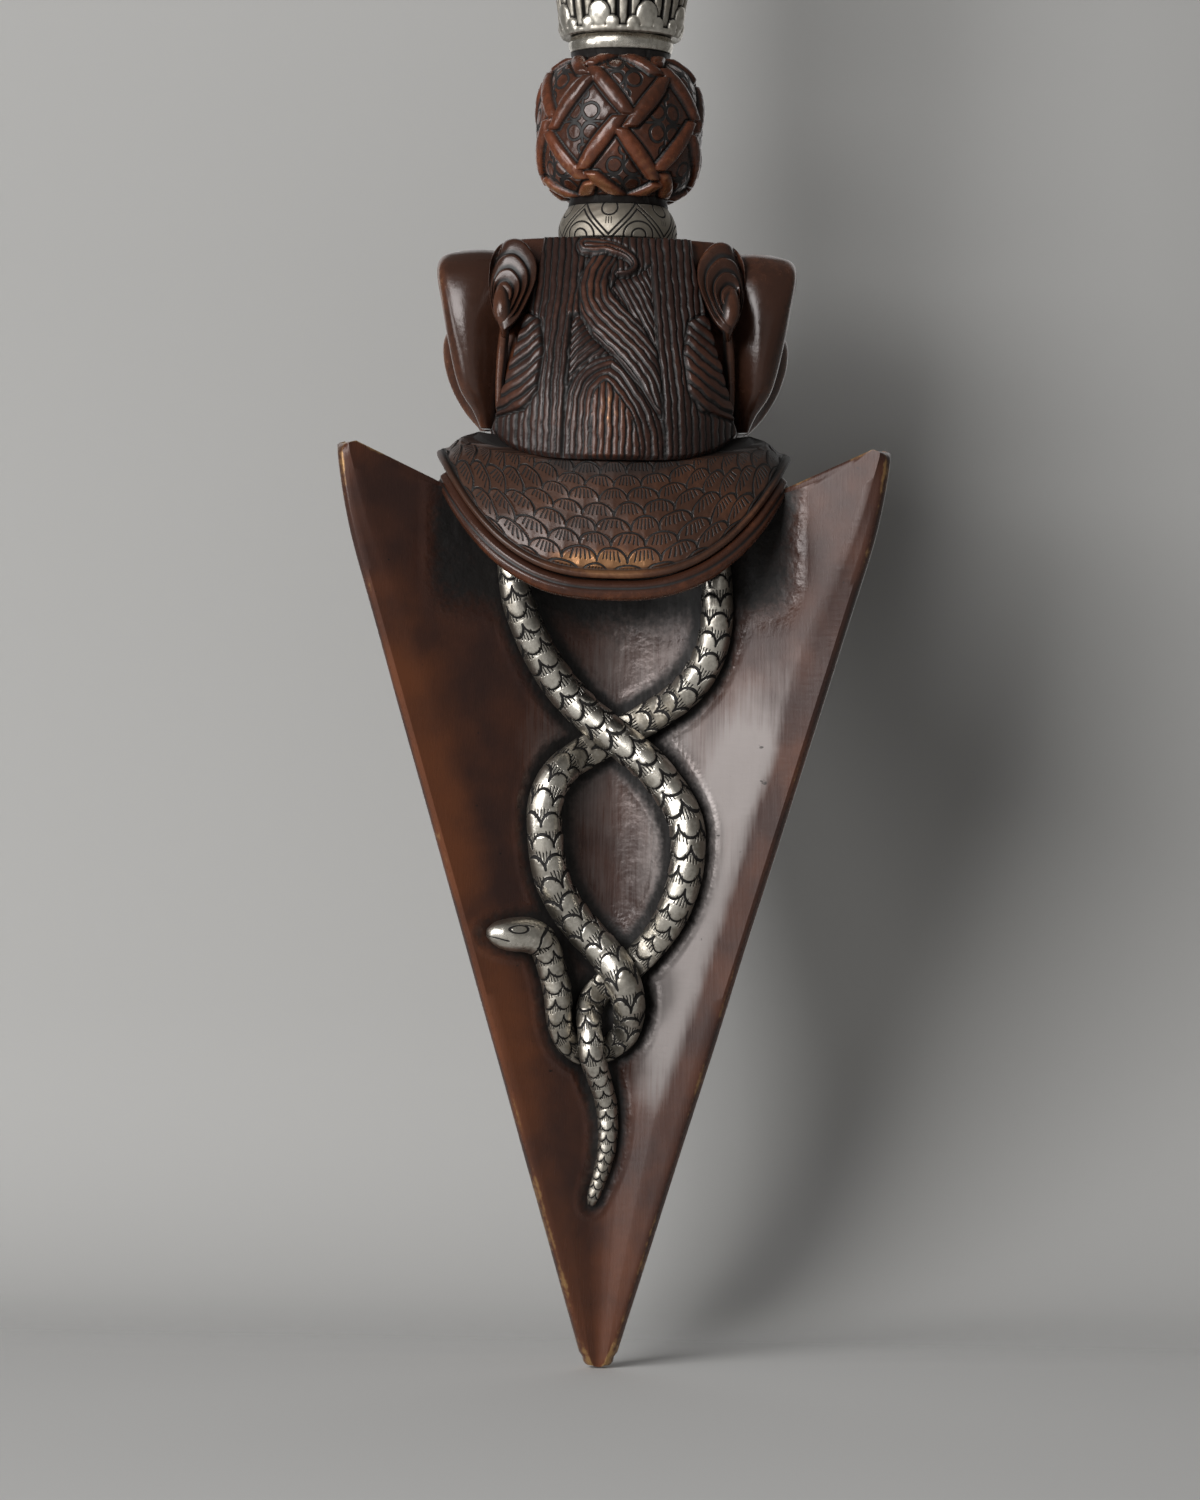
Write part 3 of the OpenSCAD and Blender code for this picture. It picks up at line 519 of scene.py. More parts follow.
def valley_line(z):
    """One valley's section at height z, from one wing's edge to the other's."""
    r, h = float(reach(z)), float(web(z))
    e = min(EDGE_T / 2, h)
    rho, c, b = float(hollow_r(z)), float(hollow_c(z)), float(bevel(z))
    u_foot = c / 2
    lip = min(0.45, 0.8 * b)
    edge = [(r - lip, e + (h - e) * 0.3), (r - 0.12, e * 0.86), (r, e * 0.5)]
    wing = [(r - b + (u_foot - r + b) * (1 - k / WEB_STEPS), h) for k in range(1, WEB_STEPS + 1)]
    bevelled = [(r - b + (b - lip) * k / 4, h + (e - h) * 0.7 * k / 4) for k in range(1, 4)]
    outward = wing + bevelled + edge
    arc = [[c + rho * math.cos(math.radians(a)), rho * math.sin(math.radians(a))]
           for a in np.linspace(210, 150, ARC_STEPS + 1)]
    first = [wing_point(-1, u, w) for u, w in reversed(outward)]
    last = [wing_point(1, u, w) for u, w in outward]
    return np.array(first + arc + last)


print("valley line has", len(valley_line(60)), "points")

# %% [markdown]
# Each valley holds two silver serpents. Their routes are the CAD's own places: sideways, height,
# radius, lift over the other serpent, and how far they are pressed under it. The blade needs the
# routes too, because black residue and painted shade darken it beside the silver, so they are laid
# down first.

# %% The serpents' routes
DESCENDING = [
    (-15.2, 124.0, 1.9, 0, 0), (-14.8, 119.4, 2.1, 0, 0), (-13.9, 114.6, 2.3, 0, 0),
    (-12.4, 110.6, 2.4, 0, 0), (-10.2, 106.2, 2.5, 0, 0), (-7.0, 101.6, 2.6, 0.4, 0),
    (-3.0, 97.6, 2.6, 2.1, 0), (1.8, 93.9, 2.6, 3, 0), (6.0, 90.5, 2.6, 1.7, 0),
    (9.4, 86.4, 2.6, 0, 0), (11.6, 82.2, 2.6, 0, 0), (12.0, 77.6, 2.55, 0, 0), (11.4, 73.0, 2.5, 0, 0),
    (9.7, 68.2, 2.4, 0, 0.1), (6.9, 63.9, 2.3, 0, 0.8), (2.7, 59.4, 2.2, 0, 1), (-0.5, 57.0, 2.1, 0, 0.9),
    (-2.2, 54.2, 2.0, 0.1, 0.3), (-2.1, 50.6, 1.8, 2, 0), (-1.6, 46.8, 1.9, 2.5, 0),
    (-0.5, 43.4, 1.7, 1.3, 0), (0.6, 39.6, 1.6, 0, 0), (0.9, 35.6, 1.45, 0, 0), (0.6, 32.0, 1.3, 0, 0),
    (-0.3, 28.6, 1.1, 0, 0), (-1.2, 25.8, 0.9, 0, 0), (-1.5, 24.6, 0.5, 0, 0)]
RISING = [
    (15.0, 124.0, 1.9, 0, 0), (15.4, 119.8, 2.1, 0, 0), (15.6, 115.6, 2.3, 0, 0),
    (15.5, 110.6, 2.35, 0, 0), (14.1, 105.6, 2.4, 0, 0), (11.3, 101.5, 2.4, 0, 0.2),
    (7.0, 98.2, 2.4, 0, 0.9), (2.4, 95.4, 2.4, 0, 1), (-3.4, 92.2, 2.4, 0, 0.9),
    (-7.4, 89.0, 2.5, 0, 0.1), (-9.3, 84.6, 2.55, 0, 0), (-9.2, 79.2, 2.6, 0, 0), (-8.4, 74.2, 2.6, 0, 0),
    (-6.6, 70.2, 2.6, 0, 0), (-3.9, 66.4, 2.6, 0.5, 0), (-0.6, 63.0, 2.6, 2, 0), (2.1, 59.6, 2.6, 2.8, 0),
    (3.4, 56.4, 2.5, 2.1, 0), (3.7, 53.0, 2.3, 0.4, 0), (2.6, 49.6, 2.0, 0.1, 0.7), (-1.4, 47.2, 1.7, 0, 1),
    (-4.7, 48.3, 1.8, 0, 1), (-6.5, 51.6, 1.9, 0, 0.5), (-7.0, 56.4, 2.1, 0, 0), (-8.1, 60.6, 2.1, 0, 0),
    (-9.2, 63.6, 2.3, 0, 0), (-11.4, 65.0, 2.6, 0, 0), (-14.4, 65.1, 2.4, 0, 0), (-16.6, 65.3, 1.6, 0, 0),
    (-17.4, 65.3, 0.7, 0, 0)]
beside = np.concatenate([through(DESCENDING, 8), through(RISING, 8)])
print("serpents drawn with", len(beside), "points a valley")

# %% [markdown]
# The blade's own metal comes next. Four numbers on its points steer the finish: the edges where the
# oxide is rubbed off, the warm stretches along the wings' rims, a grey film that polishing has left on
# the wings, which is also a painted sheen on each valley's right-hand wing, and the residue beside the
# silver and under the jaw, which is also painted shade. Fine scratches run up and down.

# %% The blade's bronze
PLUM = ((0.038, 0.017, 0.013), (0.066, 0.025, 0.015))
WARM_RIM = (0.132, 0.042, 0.016)
GREY_FILM_AND_SHEEN = (0.175, 0.155, 0.148)
EDGE_GOLD = (0.40, 0.235, 0.10)


def bronze_finish():
    """Bronze under plum oxide, rubbed to gold at its edges, filmed with grey and sooty in places; the grey
    is also a painted sheen and the soot also painted shade.
    """
    f = Finish("aged bronze")
    f.shader.inputs["IOR"].default_value = OXIDE_IOR
    rise, cut, rim, film = f.carved("rise", "cut", "rim", "film")
    cloud = f.noise(26, 5, warp=0.6)
    patch = f.noise(7, 4)
    speck = f.noise(0.8, 3)
    pits = f.noise(1.7, 2, stretch=(1, 1, 0.6)).step(0.73, 0.8)
    grain = f.noise(0.35, 3, stretch=(1, 1, 22))
    cross = f.noise(0.5, 2, stretch=(5, 5, 1))
    plum = f.blend(patch.step(0.3, 0.75), *PLUM)
    warm = (rim * 0.7 + (cloud - 0.5) * 1.7 + (patch - 0.5) * 0.5).step(0.15, 1.0)
    metal = f.blend(warm, plum, WARM_RIM)
    # Where the blade's marks ask for it, the grey film is a painted sheen, the reflection of a lamp.
    haze_and_sheen = (film + (cloud - 0.5) + (patch - 0.5) * 0.3 + (grain - 0.5) * 0.4).step(0.25, 0.9)
    metal = f.blend(haze_and_sheen, metal, GREY_FILM_AND_SHEEN)
    edge = (rise + (speck - 0.5) * 0.7 + (patch - 0.5) * 1.3).step(0.55, 1.0)
    metal = f.blend(edge, metal, EDGE_GOLD)
    # Soot and painted shade, from the blade's cut mark.
    soot_and_shade_amount = (cut + (speck - 0.5) * 0.5 + (patch - 0.5) * 0.7).step(0.35, 1.0)
    metal = f.blend((soot_and_shade_amount + pits * 0.8).at_most(1.0), metal, HOLLOW_AND_SHADE_BLACK)
    normal = f.bump(grain * (1 - cut), FINE_BUMP)
    normal = f.bump(cross, 0.010, normal)
    normal = f.bump(f.noise(2.4, 3) * cut.step(0.12, 0.5), 0.3, normal)
    f.give(Base__Color=metal, Metallic=0.1 + edge * 0.6 + haze_and_sheen * 0.45 - soot_and_shade_amount * 0.1, Normal=normal,
           Roughness=0.27 + (cloud - 0.5) * 0.12 + (grain - 0.5) * 0.12 + haze_and_sheen * 0.12 + soot_and_shade_amount * 0.35)
    return f.material


bronze = bronze_finish()
print("bronze has", len(bronze.node_tree.nodes), "nodes")

# %% The blade
RIPPLE = 0.05
ROWS = 170
LEVELS = 140
CORNER = 2.0
TIP_CORNER = 1.5
DIP = 1.7
DIP_START = 25
SHARP_ABOVE = 38


def wing_top(away):
    """Height of the wings' top edges: the head's seat, and past it a shallow dip up to the corners."""
    dip = DIP * np.sin(np.pi * clamp((away - DIP_START) / (BLADE_REACH - DIP_START - 1)))
    return HOLLOW_Z + TOP_DROP * away / BLADE_REACH - dip


heights = np.linspace(0, BLADE_H, LEVELS)
lines = np.stack([valley_line(z) for z in heights])
columns = lines.shape[1]
tops = np.zeros(columns)
for k in range(columns):
    away = np.linalg.norm(lines[:, k], axis=1)
    tops[k] = np.interp(0, heights - wing_top(away), heights)
share = np.linspace(0, 1, ROWS)
valley = np.zeros((ROWS, columns, 3))
for k in range(columns):
    z = share * tops[k]
    valley[:, k, 0] = np.interp(z, heights, lines[:, k, 0])
    valley[:, k, 1] = np.interp(z, heights, lines[:, k, 1])
    valley[:, k, 2] = z
to_edge = reach(valley[..., 2]) - np.hypot(valley[..., 0], valley[..., 1])
top_edge = tops[None, :] - valley[..., 2]

# The wings' upper corners and the tip's corners are worn round.
out = np.hypot(valley[..., 0], valley[..., 1])
for corner_out, corner_up, size, up in ((BLADE_REACH - 1.1 * CORNER, BLADE_H - 1.75 * CORNER, CORNER, 1),
                                        (0.9, 1.6, TIP_CORNER, -1)):
    du, dz = out - corner_out, valley[..., 2] - corner_up
    past = np.hypot(du, dz)
    corner = (du > -0.6 * size) & (dz * up > -0.3 * size) & (past > size)
    pull = np.where(corner, size / np.maximum(past, 1e-6), 1)
    new_out = corner_out + du * pull
    valley[..., :2] *= (new_out / np.maximum(out, 1e-6))[..., None]
    valley[..., 2] = corner_up + dz * pull
    out = new_out
blade_rings = np.concatenate([turned(valley, a) for a in TURNS], axis=1)
uneven = ripple(blade_rings[..., 2], np.arange(blade_rings.shape[1])[None, :] * 0.6, (34, 19), 4)
blade_rings = lifted(blade_rings, uneven * RIPPLE * soft_step(blade_rings[..., 2], 4, 30))

# In a valley turned to the front, x runs sideways and the serpents' places apply. The marks below
# follow the photograph's sooty, rubbed and filmed places, in millimetres on the blade. The soot beside
# the serpents, on the valley floor and under the jaw is residue and painted shade, and the film is
# also a painted sheen.
x, _, z = np.moveaxis(turned(valley, -90), -1, 0)
gap = np.full(x.shape, 99.0)
for place in beside:
    gap = np.minimum(gap, np.hypot(x - place[0], z - place[1]) - place[2])
around_serpents = fall(gap, 0.1, 3.0)
# Painted shade under the jaw, where the head hangs over the blade.
painted_shade_under_jaw = soft_step(z, 106, 119) * fall(np.abs(x), 24, 30)
valley_floor = fall(np.abs(x) / reach(z), 0.2, 0.6) * soft_step(z, 20, 60)
soot_and_shade = clamp(np.maximum(around_serpents * 0.8, painted_shade_under_jaw) + 0.3 * valley_floor)
rubbed = bell(to_edge - 0.15, 0.3)
rubbed = np.maximum(rubbed, bell(top_edge, 0.35) * soft_step(np.abs(x), 32, 37))
at_ends = np.maximum(soft_step(z, 122, 136), 1 - soft_step(z, 5, 75))
rubbed = rubbed * (0.42 + 0.3 * at_ends) + 0.3 * fall(z, 1, 6)
warm_rim = fall(to_edge, 1, 13) * (1 - 0.7 * soft_step(x, 0, 8))
warm_rim = warm_rim * (1 - 0.6 * soft_step(z, 98, 124))
# The film is heaviest as a band on each valley's right-hand wing: a painted sheen where a lamp is mirrored.
# On the valley floor it greys the bronze too.
film = soft_step(z, 22, 50) * (1 - 0.7 * soft_step(z, 90, 114)) * soft_step(to_edge, 2.2, 6)
film = film * (1 - 0.6 * soft_step(to_edge, 11, 18)) * (0.05 + 0.8 * soft_step(x, 3, 9))
film = film + 0.4 * valley_floor
marks = {"rise": rubbed, "cut": soot_and_shade, "rim": warm_rim, "film": film}
marks = {key: np.tile(values, len(TURNS)) for key, values in marks.items()}
blade = ringed(blade_rings, marks, peak=(0, 0, HOLLOW_Z))
blade = make_piece("blade_body", blade, bronze, ["blade"])
blade.data.set_sharp_from_angle(angle=math.radians(SHARP_ABOVE))

# %% [markdown]
# A serpent is a tube along its route, flat where it lies on the bronze. Its scales are shingles: each
# row's scalloped edge stands over the next row, towards the tail. The relief is in the mesh, and the
# same rule, written as shader maths, draws the engraver's black lines and hatching at any size.

# %% Scales as relief
SCALE_LONG = 3.1
SCALE_WIDE = 78.0
SCALE_ROUND = 2.0
SCALE_RISE = 0.3


def shingles(along, turn, size_long=SCALE_LONG, wide=SCALE_WIDE, bow=SCALE_ROUND):
    """Distance past the last scalloped edge, and the distance on to the next one.

    Scales repeat every size_long along and every wide across, and bow is how far an edge bulges.
    """
    ahead = np.full(np.broadcast(along, turn).shape, 1e9)
    behind = np.full(ahead.shape, -1e9)
    base = np.floor(along / size_long)
    for step in (-2, -1, 0, 1):
        row = base + step
        aside = (turn / wide + 0.5 * np.mod(row, 2)) % 1.0 - 0.5
        edge = row * size_long + bow * np.sqrt(np.maximum(0, 1 - (2 * aside) ** 2))
        ahead = np.where((edge > along) & (edge < ahead), edge, ahead)
        behind = np.where((edge <= along) & (edge > behind), edge, behind)
    return along - behind, ahead - along


def serpent_seat(x, z, lift):
    """The serpent's middle over the front valley and the way up from the bronze."""
    rho, c = hollow_r(z) - lift, hollow_c(z)
    if abs(x) < rho * 0.5:
        y = -c + math.sqrt(rho * rho - x * x)
        up_way = np.array([-x, -c - y, 0])
        return np.array([x, y, z]), up_way / np.linalg.norm(up_way)
    side = math.cos(math.radians(30))
    return (np.array([x, -abs(x) * math.tan(math.radians(30)) - (web(z) + lift) / side, z]),
            np.array([-0.5 if x > 0 else 0.5, -side, 0]))


SOLE = 1.9
SUNK = 0.35
PRESSED_TOP = 0.5
SERPENT_SIDES = 44
SERPENT_STEP = 0.3
HEAD_HIDDEN = 30


def serpent_rings(route, tail_first):
    """Rings of a serpent's body with its scales, and its pattern: along, turn and place from the head."""
    path, along = evenly(through([(x, 0, z, r, lift, press) for x, z, r, lift, press in route], 12), 1.0)
    seats = [serpent_seat(p[0], p[2], min(SOLE, 0.75 * p[3]) + 0.15 + p[4]) for p in path]
    whole = np.array([np.concatenate([at, way, p[3:]]) for (at, way), p in zip(seats, path)])
    whole, along = evenly(whole, SERPENT_STEP)
    middles, ups, radius, pressed = whole[:, :3], whole[:, 3:6], whole[:, 6], whole[:, 8]
    way = unit(np.gradient(middles, axis=0))
    ups = square_to(way, ups)
    sides = np.cross(ups, way)
    turn = np.linspace(-90, 270, SERPENT_SIDES + 1)
    a = np.radians(turn[:-1])
    flat = np.minimum(SOLE, 0.75 * radius) + SUNK
    top = radius + (PRESSED_TOP - radius) * clamp(pressed)
    across = radius[:, None] * np.cos(a)
    above = np.clip(radius[:, None] * np.sin(a), -flat[:, None], None)
    above = np.where(above > 0, above * (top / radius)[:, None], above)
    body = middles[:, None] + sides[:, None] * across[..., None] + ups[:, None] * above[..., None]
    size = np.clip(radius / 2.6, 0.45, 1)
    pace = np.concatenate([[0], np.cumsum(np.diff(along) * 2 / (size[1:] + size[:-1]))])
    q = pace[-1] - pace if tail_first else pace
    from_head = along[-1] - along if tail_first else along + HEAD_HIDDEN
    past, ahead = shingles(q[:, None], turn[None, :-1] - 90)
    scaled = soft_step(from_head, 6.5, 8.5)[:, None] * soft_step(np.sin(a), -0.55, 0.1)[None, :]
    lift = SCALE_RISE * ((past / (past + ahead)) ** 0.8 - 0.45) - 0.14 * bell(past, 0.25)
    body = lifted(body, lift * scaled * size[:, None], outward=body - middles[:, None])
    dark = bell(past, 0.3) * scaled * 0.45
    # Painted shade on the serpent's underside, where it lies on the bronze.
    low = fall(above, -1.7, -0.9) * 0.9
    pattern = np.stack(np.broadcast_arrays(q[:, None], turn[None, :], from_head[:, None]), axis=-1)
    marks = {"rise": soft_step(above, -0.5, 2.2), "cut": clamp(np.maximum(dark, low))}
    return ringed(body, marks, pattern)


def scale_lines(f, along, turn, long, wide, bow, width, strokes=9, at_tip=False):
    """Engraved scallops and strokes: 1 in a line, 0 beside it. Strokes start at a scale's root or tip."""
    base = (along / long).floor()
    nearest = None
    for step in (0, 1):
        row = base + step
        aside = (turn / wide + row % 2 * 0.5).fraction() - 0.5
        past = along - row * long
        arc = ((aside * 2) ** 2 + (past.at_least(0) / bow) ** 2).root()
        away = abs(arc - 1) * bow + (0 - past).at_least(0)
        nearest = away if nearest is None else nearest.at_most(away)
        if step == 0 or not at_tip:
            middle = aside
    scallops = 1 - nearest.step(width * 0.5, width * 0.5 + 0.12)
    start = along - base * long - 0.9
    if at_tip:
        start = bow - 1.05 - start
    length = f.noise(2.2, 1) * 1.7 + 0.95
    fan = middle / (1 + start * 0.25)
    stripes = abs((fan * strokes).fraction() - 0.5).step(0.24, 0.4)
    zone = start.step(0.2, 0.45) * (length - start).step(0.0, 0.3) * (0.28 - abs(fan)).step(0.0, 0.03)
    return scallops.at_least(stripes * zone)


EYE_HIGH = 0.9
MOUTH_HIGH = -1.0


def serpent_lines(f):
    """Scales everywhere but on the head, and there an almond eye and a mouth."""
    along, turn, from_head = f.pattern()
    scales = scale_lines(f, along, turn - 90, SCALE_LONG, SCALE_WIDE, SCALE_ROUND, 0.3)
    scales = scales * from_head.step(7.2, 7.8)
    collar = 1 - abs(from_head - 7.4 - abs(turn - 90) * 0.012).step(0.12, 0.26)
    high = (turn - 90) * 0.045
    eye_along = (from_head - 3.9) / 1.25
    eye_high = (high - EYE_HIGH) / 0.62
    almond = (eye_along ** 2 + eye_high ** 2).root()
    eye = 1 - (abs(almond - 1) * 0.7).step(0.06, 0.2)
    corner = 1 - abs(high - EYE_HIGH - 0.5 + (from_head - 5.4) * 0.12).step(0.04, 0.16)
    corner = corner * from_head.step(4.6, 4.9) * (1 - from_head.step(6.0, 6.3))
    mouth = 1 - abs(high - MOUTH_HIGH + (from_head - 1.2) * 0.1).step(0.07, 0.2)
    mouth = mouth * (1 - from_head.step(2.6, 3.0))
    return scales.at_least(collar).at_least(eye).at_least(corner).at_least(mouth)


serpent_silver = silver_finish("serpent silver", serpent_lines)
for way, turn_by in (("front", 0), ("right", 120), ("left", 240)):
    for kind, route, tail_first in (("descending", DESCENDING, False), ("rising", RISING, True)):
        points, faces, carried = serpent_rings(route, tail_first)
        name = f"{kind}_serpent_{way}"
        part = (turned(points, turn_by), faces, carried)
        make_piece("scaled_" + name, part, serpent_silver, [name])

# %% [markdown]
# The handle is turned work, so its pieces are outlines swept round the axis, with their ornament
# raised on a grid of angles and heights. Angles start at the front and grow to the right. The knots
# are baskets of short rods: two families slant across each other, and where four ends meet, each rod
# stops against the next one's side like the vanes of a pinwheel. Between the rods lie small fields with
# a four-pointed star and round lobes, which are only engraved.

# %% Turned pieces
COLLAR_R = 8.8
COLLAR_TOP_R = 7.3
COLLAR_H = 5.4
KNOT_R = 12.6
KNOT_H = 22.8
KNOT_END_R = 7.5
RING_R = 7.7
RING_H = 2.6
LOTUS_H = 22.0
BEAD_R = 8.4
BEAD_H = 6.0
SEAT_R = 11.5
SEAT_H = 8.0
HEAD_TOP = 168.6
KNOT_Z = HEAD_TOP + COLLAR_H
RING_Z = KNOT_Z + KNOT_H
LOTUS_Z = RING_Z + RING_H
BEAD_Z = LOTUS_Z + LOTUS_H
UPPER_LOTUS_Z = BEAD_Z + BEAD_H
UPPER_RING_Z = UPPER_LOTUS_Z + LOTUS_H
UPPER_KNOT_Z = UPPER_RING_Z + RING_H
UPPER_COLLAR_Z = UPPER_KNOT_Z + KNOT_H
SEAT_Z = UPPER_COLLAR_Z + COLLAR_H
VAJRA_Z = SEAT_Z + SEAT_H
VAJRA_H = 38.0


def turned_grid(radius, height, sides):
    """Rings at the given radii and heights."""
    a = np.radians(angles(sides)[:-1])
    around = np.stack([np.sin(a), -np.cos(a)], 1)
    flat = radius[:, None, None] * around[None]
    return np.concatenate([flat, np.repeat(height[:, None, None], sides, 1)], 2)


def turned_work(name, node, radius, height, relief, marks, pattern, finish, upside_down=False):
    """A turned piece with relief on it. Its grid runs upwards, or downwards for the mirrored ones."""
    grid = turned_grid(radius, height, relief.shape[1])
    if upside_down:
        grid[..., 2] = height[0] + height[-1] - grid[..., 2]
    fade = np.ones(len(radius))
    fade[[0, -1]] = 0
    grid = lifted(grid, relief * fade[:, None])
    make_piece(name, ringed(grid, marks, pattern), finish, [node])


def wrapped(angle, pitch):
    """The angle from the middle of its own pitch."""
    return (angle / pitch + 0.5) % 1.0 * pitch - pitch / 2


# %% The knots
ROD_SLANT = 44.5
ROD_HALF = 1.32
ROD_RISE = 0.85
ROD_SHIFT = 6.5
ROD_START = 3.5
ROD_LOW = -0.45
ROD_PITCH = 60
ROD_ROW = 30
KNOT_ROWS = 190
KNOT_SIDES = 480
FIELD_RISE = 0.34


def rods(angle, climb, radius):
    """Height of the plaited rods, 0 to 1, and the darkness of the gaps beside them."""
    best = np.zeros(np.broadcast(angle, climb).shape)
    near = np.full(best.shape, 9.0)
    tilt = math.cos(math.atan(math.radians(ROD_SLANT)))
    shift = ROD_SHIFT / ROD_SLANT
    margin = 1.25 * ROD_HALF * tilt / radius
    for row in range(-3, 3):
        sign = 1 if row % 2 == 0 else -1
        low, high = ROD_ROW * row / ROD_SLANT, ROD_ROW * (row + 1) / ROD_SLANT
        for family in (-1, 1):
            axis = ROD_START + sign * ROD_SHIFT + family * ROD_SLANT * climb
            away = np.abs(wrapped(angle - axis, ROD_PITCH)) * np.radians(1) * radius * tilt
            long_low = shift if family * sign > 0 else 0
            long_high = shift if family * sign < 0 else 0
            start = low - long_low + margin
            stop = high + long_high - margin
            inside = np.minimum(climb - start, stop - climb) * radius / tilt
            end = np.sqrt(clamp((inside + 0.55) / 0.55))
            wide = ROD_HALF * (0.8 + 0.2 * np.sin(np.pi * clamp((climb - start) / (stop - start))))
            body = clamp(1 - (away / wide) ** 2.4) ** 0.55 * end
            best = np.maximum(best, body)
            outside = np.hypot(np.clip(away - wide, 0, None), np.clip(-inside - 0.5, 0, None))
            near = np.minimum(near, outside)
    return best, near


def knot_lines(f):
    """A star, four lobes and two small rounds in each field."""
    x, y, free = f.pattern()
    warp = (f.noise(3.0, 2) - 0.5) * 0.7
    x = abs(x + warp)
    y = abs(y - warp)
    star = abs((x / 1.5) ** 0.62 + (y / 1.7) ** 0.62 - 1) * 0.8
    lobe = abs(((x - 1.35) ** 2 + (y - 1.55) ** 2).root() - 1.25)
    lobe = lobe + (1.1 - x - y * 0.6).at_least(0)
    small = abs((x * x + (y - 4.1) ** 2).root() - 0.72)
    stems = (x + (1.3 - y).at_least(0)).at_most(y + (1.2 - x).at_least(0))
    stems = stems + (y - 3.2).at_least(0) + (x - 3.4).at_least(0)
    line = star.at_most(lobe).at_most(small).at_most(stems)
    return (1 - line.step(0.13, 0.3)) * free


knot_copper = copper_finish("knot copper", knot_lines, shine=0.26, red=(0.150, 0.042, 0.017))


def knot(name, node, z, upside_down):
    """A knot. Its climb is the way up the outline over the radius, so that rods keep their slant."""
    half = KNOT_H / 2
    pole = half / (1 - (KNOT_END_R / KNOT_R) ** 2.5) ** 0.4
    h = np.linspace(-half, half, KNOT_ROWS)
    radius = KNOT_R * (1 - (np.abs(h) / pole) ** 2.5) ** 0.4
    slope = np.hypot(np.gradient(radius, h), 1) / radius
    climb = np.concatenate([[0], np.cumsum((slope[1:] + slope[:-1]) / 2 * np.diff(h))])
    climb -= np.interp(0, h, climb)
    angle = angles(KNOT_SIDES)
    body, near = rods(angle[None], climb[:, None], radius[:, None])
    rows_up = ROD_SLANT * climb / ROD_ROW
    row = np.round(rows_up)
    across = wrapped(angle[None] - ROD_START - ROD_ROW * ((row[:, None] + 1) % 2), ROD_PITCH)
    other = np.abs(across) / ROD_ROW + np.abs(rows_up - row)[:, None] > 1
    centre = np.where(other, (row + np.sign(rows_up - row))[:, None], row[:, None])
    across = np.where(other, across - ROD_ROW * np.sign(across), across)
    x = np.radians(across) * radius[:, None]
    y = (climb[:, None] - centre * ROD_ROW / ROD_SLANT) * radius[:, None]
    free = soft_step(near, 0.3, 0.6)
    fields = FIELD_RISE * np.exp(-((x / 2.4) ** 2 + (y / 3.2) ** 2))
    grain = 0.04 * ripple(np.radians(angle)[None] * KNOT_R, h[:, None], (3.1, 1.4), 11)
    groove = 0.3 * bell(near, 0.25) * (body < 0.05)
    relief = ROD_LOW + ROD_RISE * body + fields * free - groove + grain
    from_pole = np.minimum(h + half, half - h)
    end = clamp(from_pole / 0.8)[:, None]
    relief = relief * end + ROD_LOW * (1 - end) - 0.6 * soft_step(np.abs(h) / half, 0.7, 1.0)[:, None]
    gap = clamp(1.15 * bell(near, 0.35) * fall(body, 0.15, 0.5))
    gap = np.maximum(gap, fall(from_pole, 0.1, 0.8)[:, None] * 0.8)
    low = 1 - soft_step(h, -9, 1)[:, None]
    rise = clamp(0.32 + 0.16 * body + 0.45 * low * body)
    marks = {"rise": rise[:, :-1], "cut": gap[:, :-1]}
    turned_work(name, node, radius, z + half + h, relief[:, :-1], marks, np.stack([x, y, free], -1),
                knot_copper, upside_down)


knot("plaited_lower_knot", "lower_knot", KNOT_Z, False)
knot("plaited_upper_knot", "upper_knot", UPPER_KNOT_Z, True)

# %% [markdown]
# Silver collars seat the knots, and their zigzag of double lines is engraved. The plain rings are
# polished. A lotus stands on each ring: eight petals of three lobes, and thirty-two upright ribs behind
# them whose gaps are black.

# %% Collars, rings and lotuses
ZIGZAG = 60.0
ZIGZAG_START = -9.0
RIBS = 32
PETALS = 8
PETAL_START = 24.0
LOTUS_R = 8.8
LOTUS_WIDE_R = 10.4
LOTUS_TOP_R = 6.6
LOTUS_SIDES = 512
LOTUS_RIM = (19.8, 20.6)
LOBES = ((0, 2.4, 1.65, 2.0, 1.0), (1.95, 1.15, 1.05, 1.0, 0.7), (-1.95, 1.15, 1.05, 1.0, 0.7))


def collar_lines(f):
    """A zigzag of double lines, with rounds in its corners and small patches of fine strokes."""
    angle, height, _ = f.pattern()
    folded = abs(((angle - ZIGZAG_START) / ZIGZAG + 0.5).fraction() - 0.5) * 2
    away = abs(folded * 4.2 - height * 0.86) * 0.74
    double = abs(away - 0.3)
    low_round = ((folded - 1) ** 2 * 17 + (height - 0.4) ** 2).root()
    high_round = (folded ** 2 * 17 + (height - 4.6) ** 2).root()
    rounds = abs(low_round - 1.0).at_most(abs(high_round - 1.2)).at_most(abs(low_round - 2.1))
    rounds = rounds + (away - 0.55).is_below(0)
    hatch = (abs((angle / 2.6).fraction() - 0.5) * 0.9 + abs(height - 2.6).step(0.5, 0.7)
             + (folded - 0.12).step(0.0, 0.05))
    return (1 - double.at_most(rounds).step(0.06, 0.18)).at_least(1 - hatch.step(0.05, 0.2))


plain_silver = silver_finish("plain silver", shine=0.2, tarnish=0.3)
collar_silver = silver_finish("engraved silver", collar_lines, shine=0.36, tarnish=0.85)
lotus_silver = silver_finish("lotus silver", shine=0.28, tarnish=0.5)
plain_copper = copper_finish("plain copper")


ROUND_END = 0.25


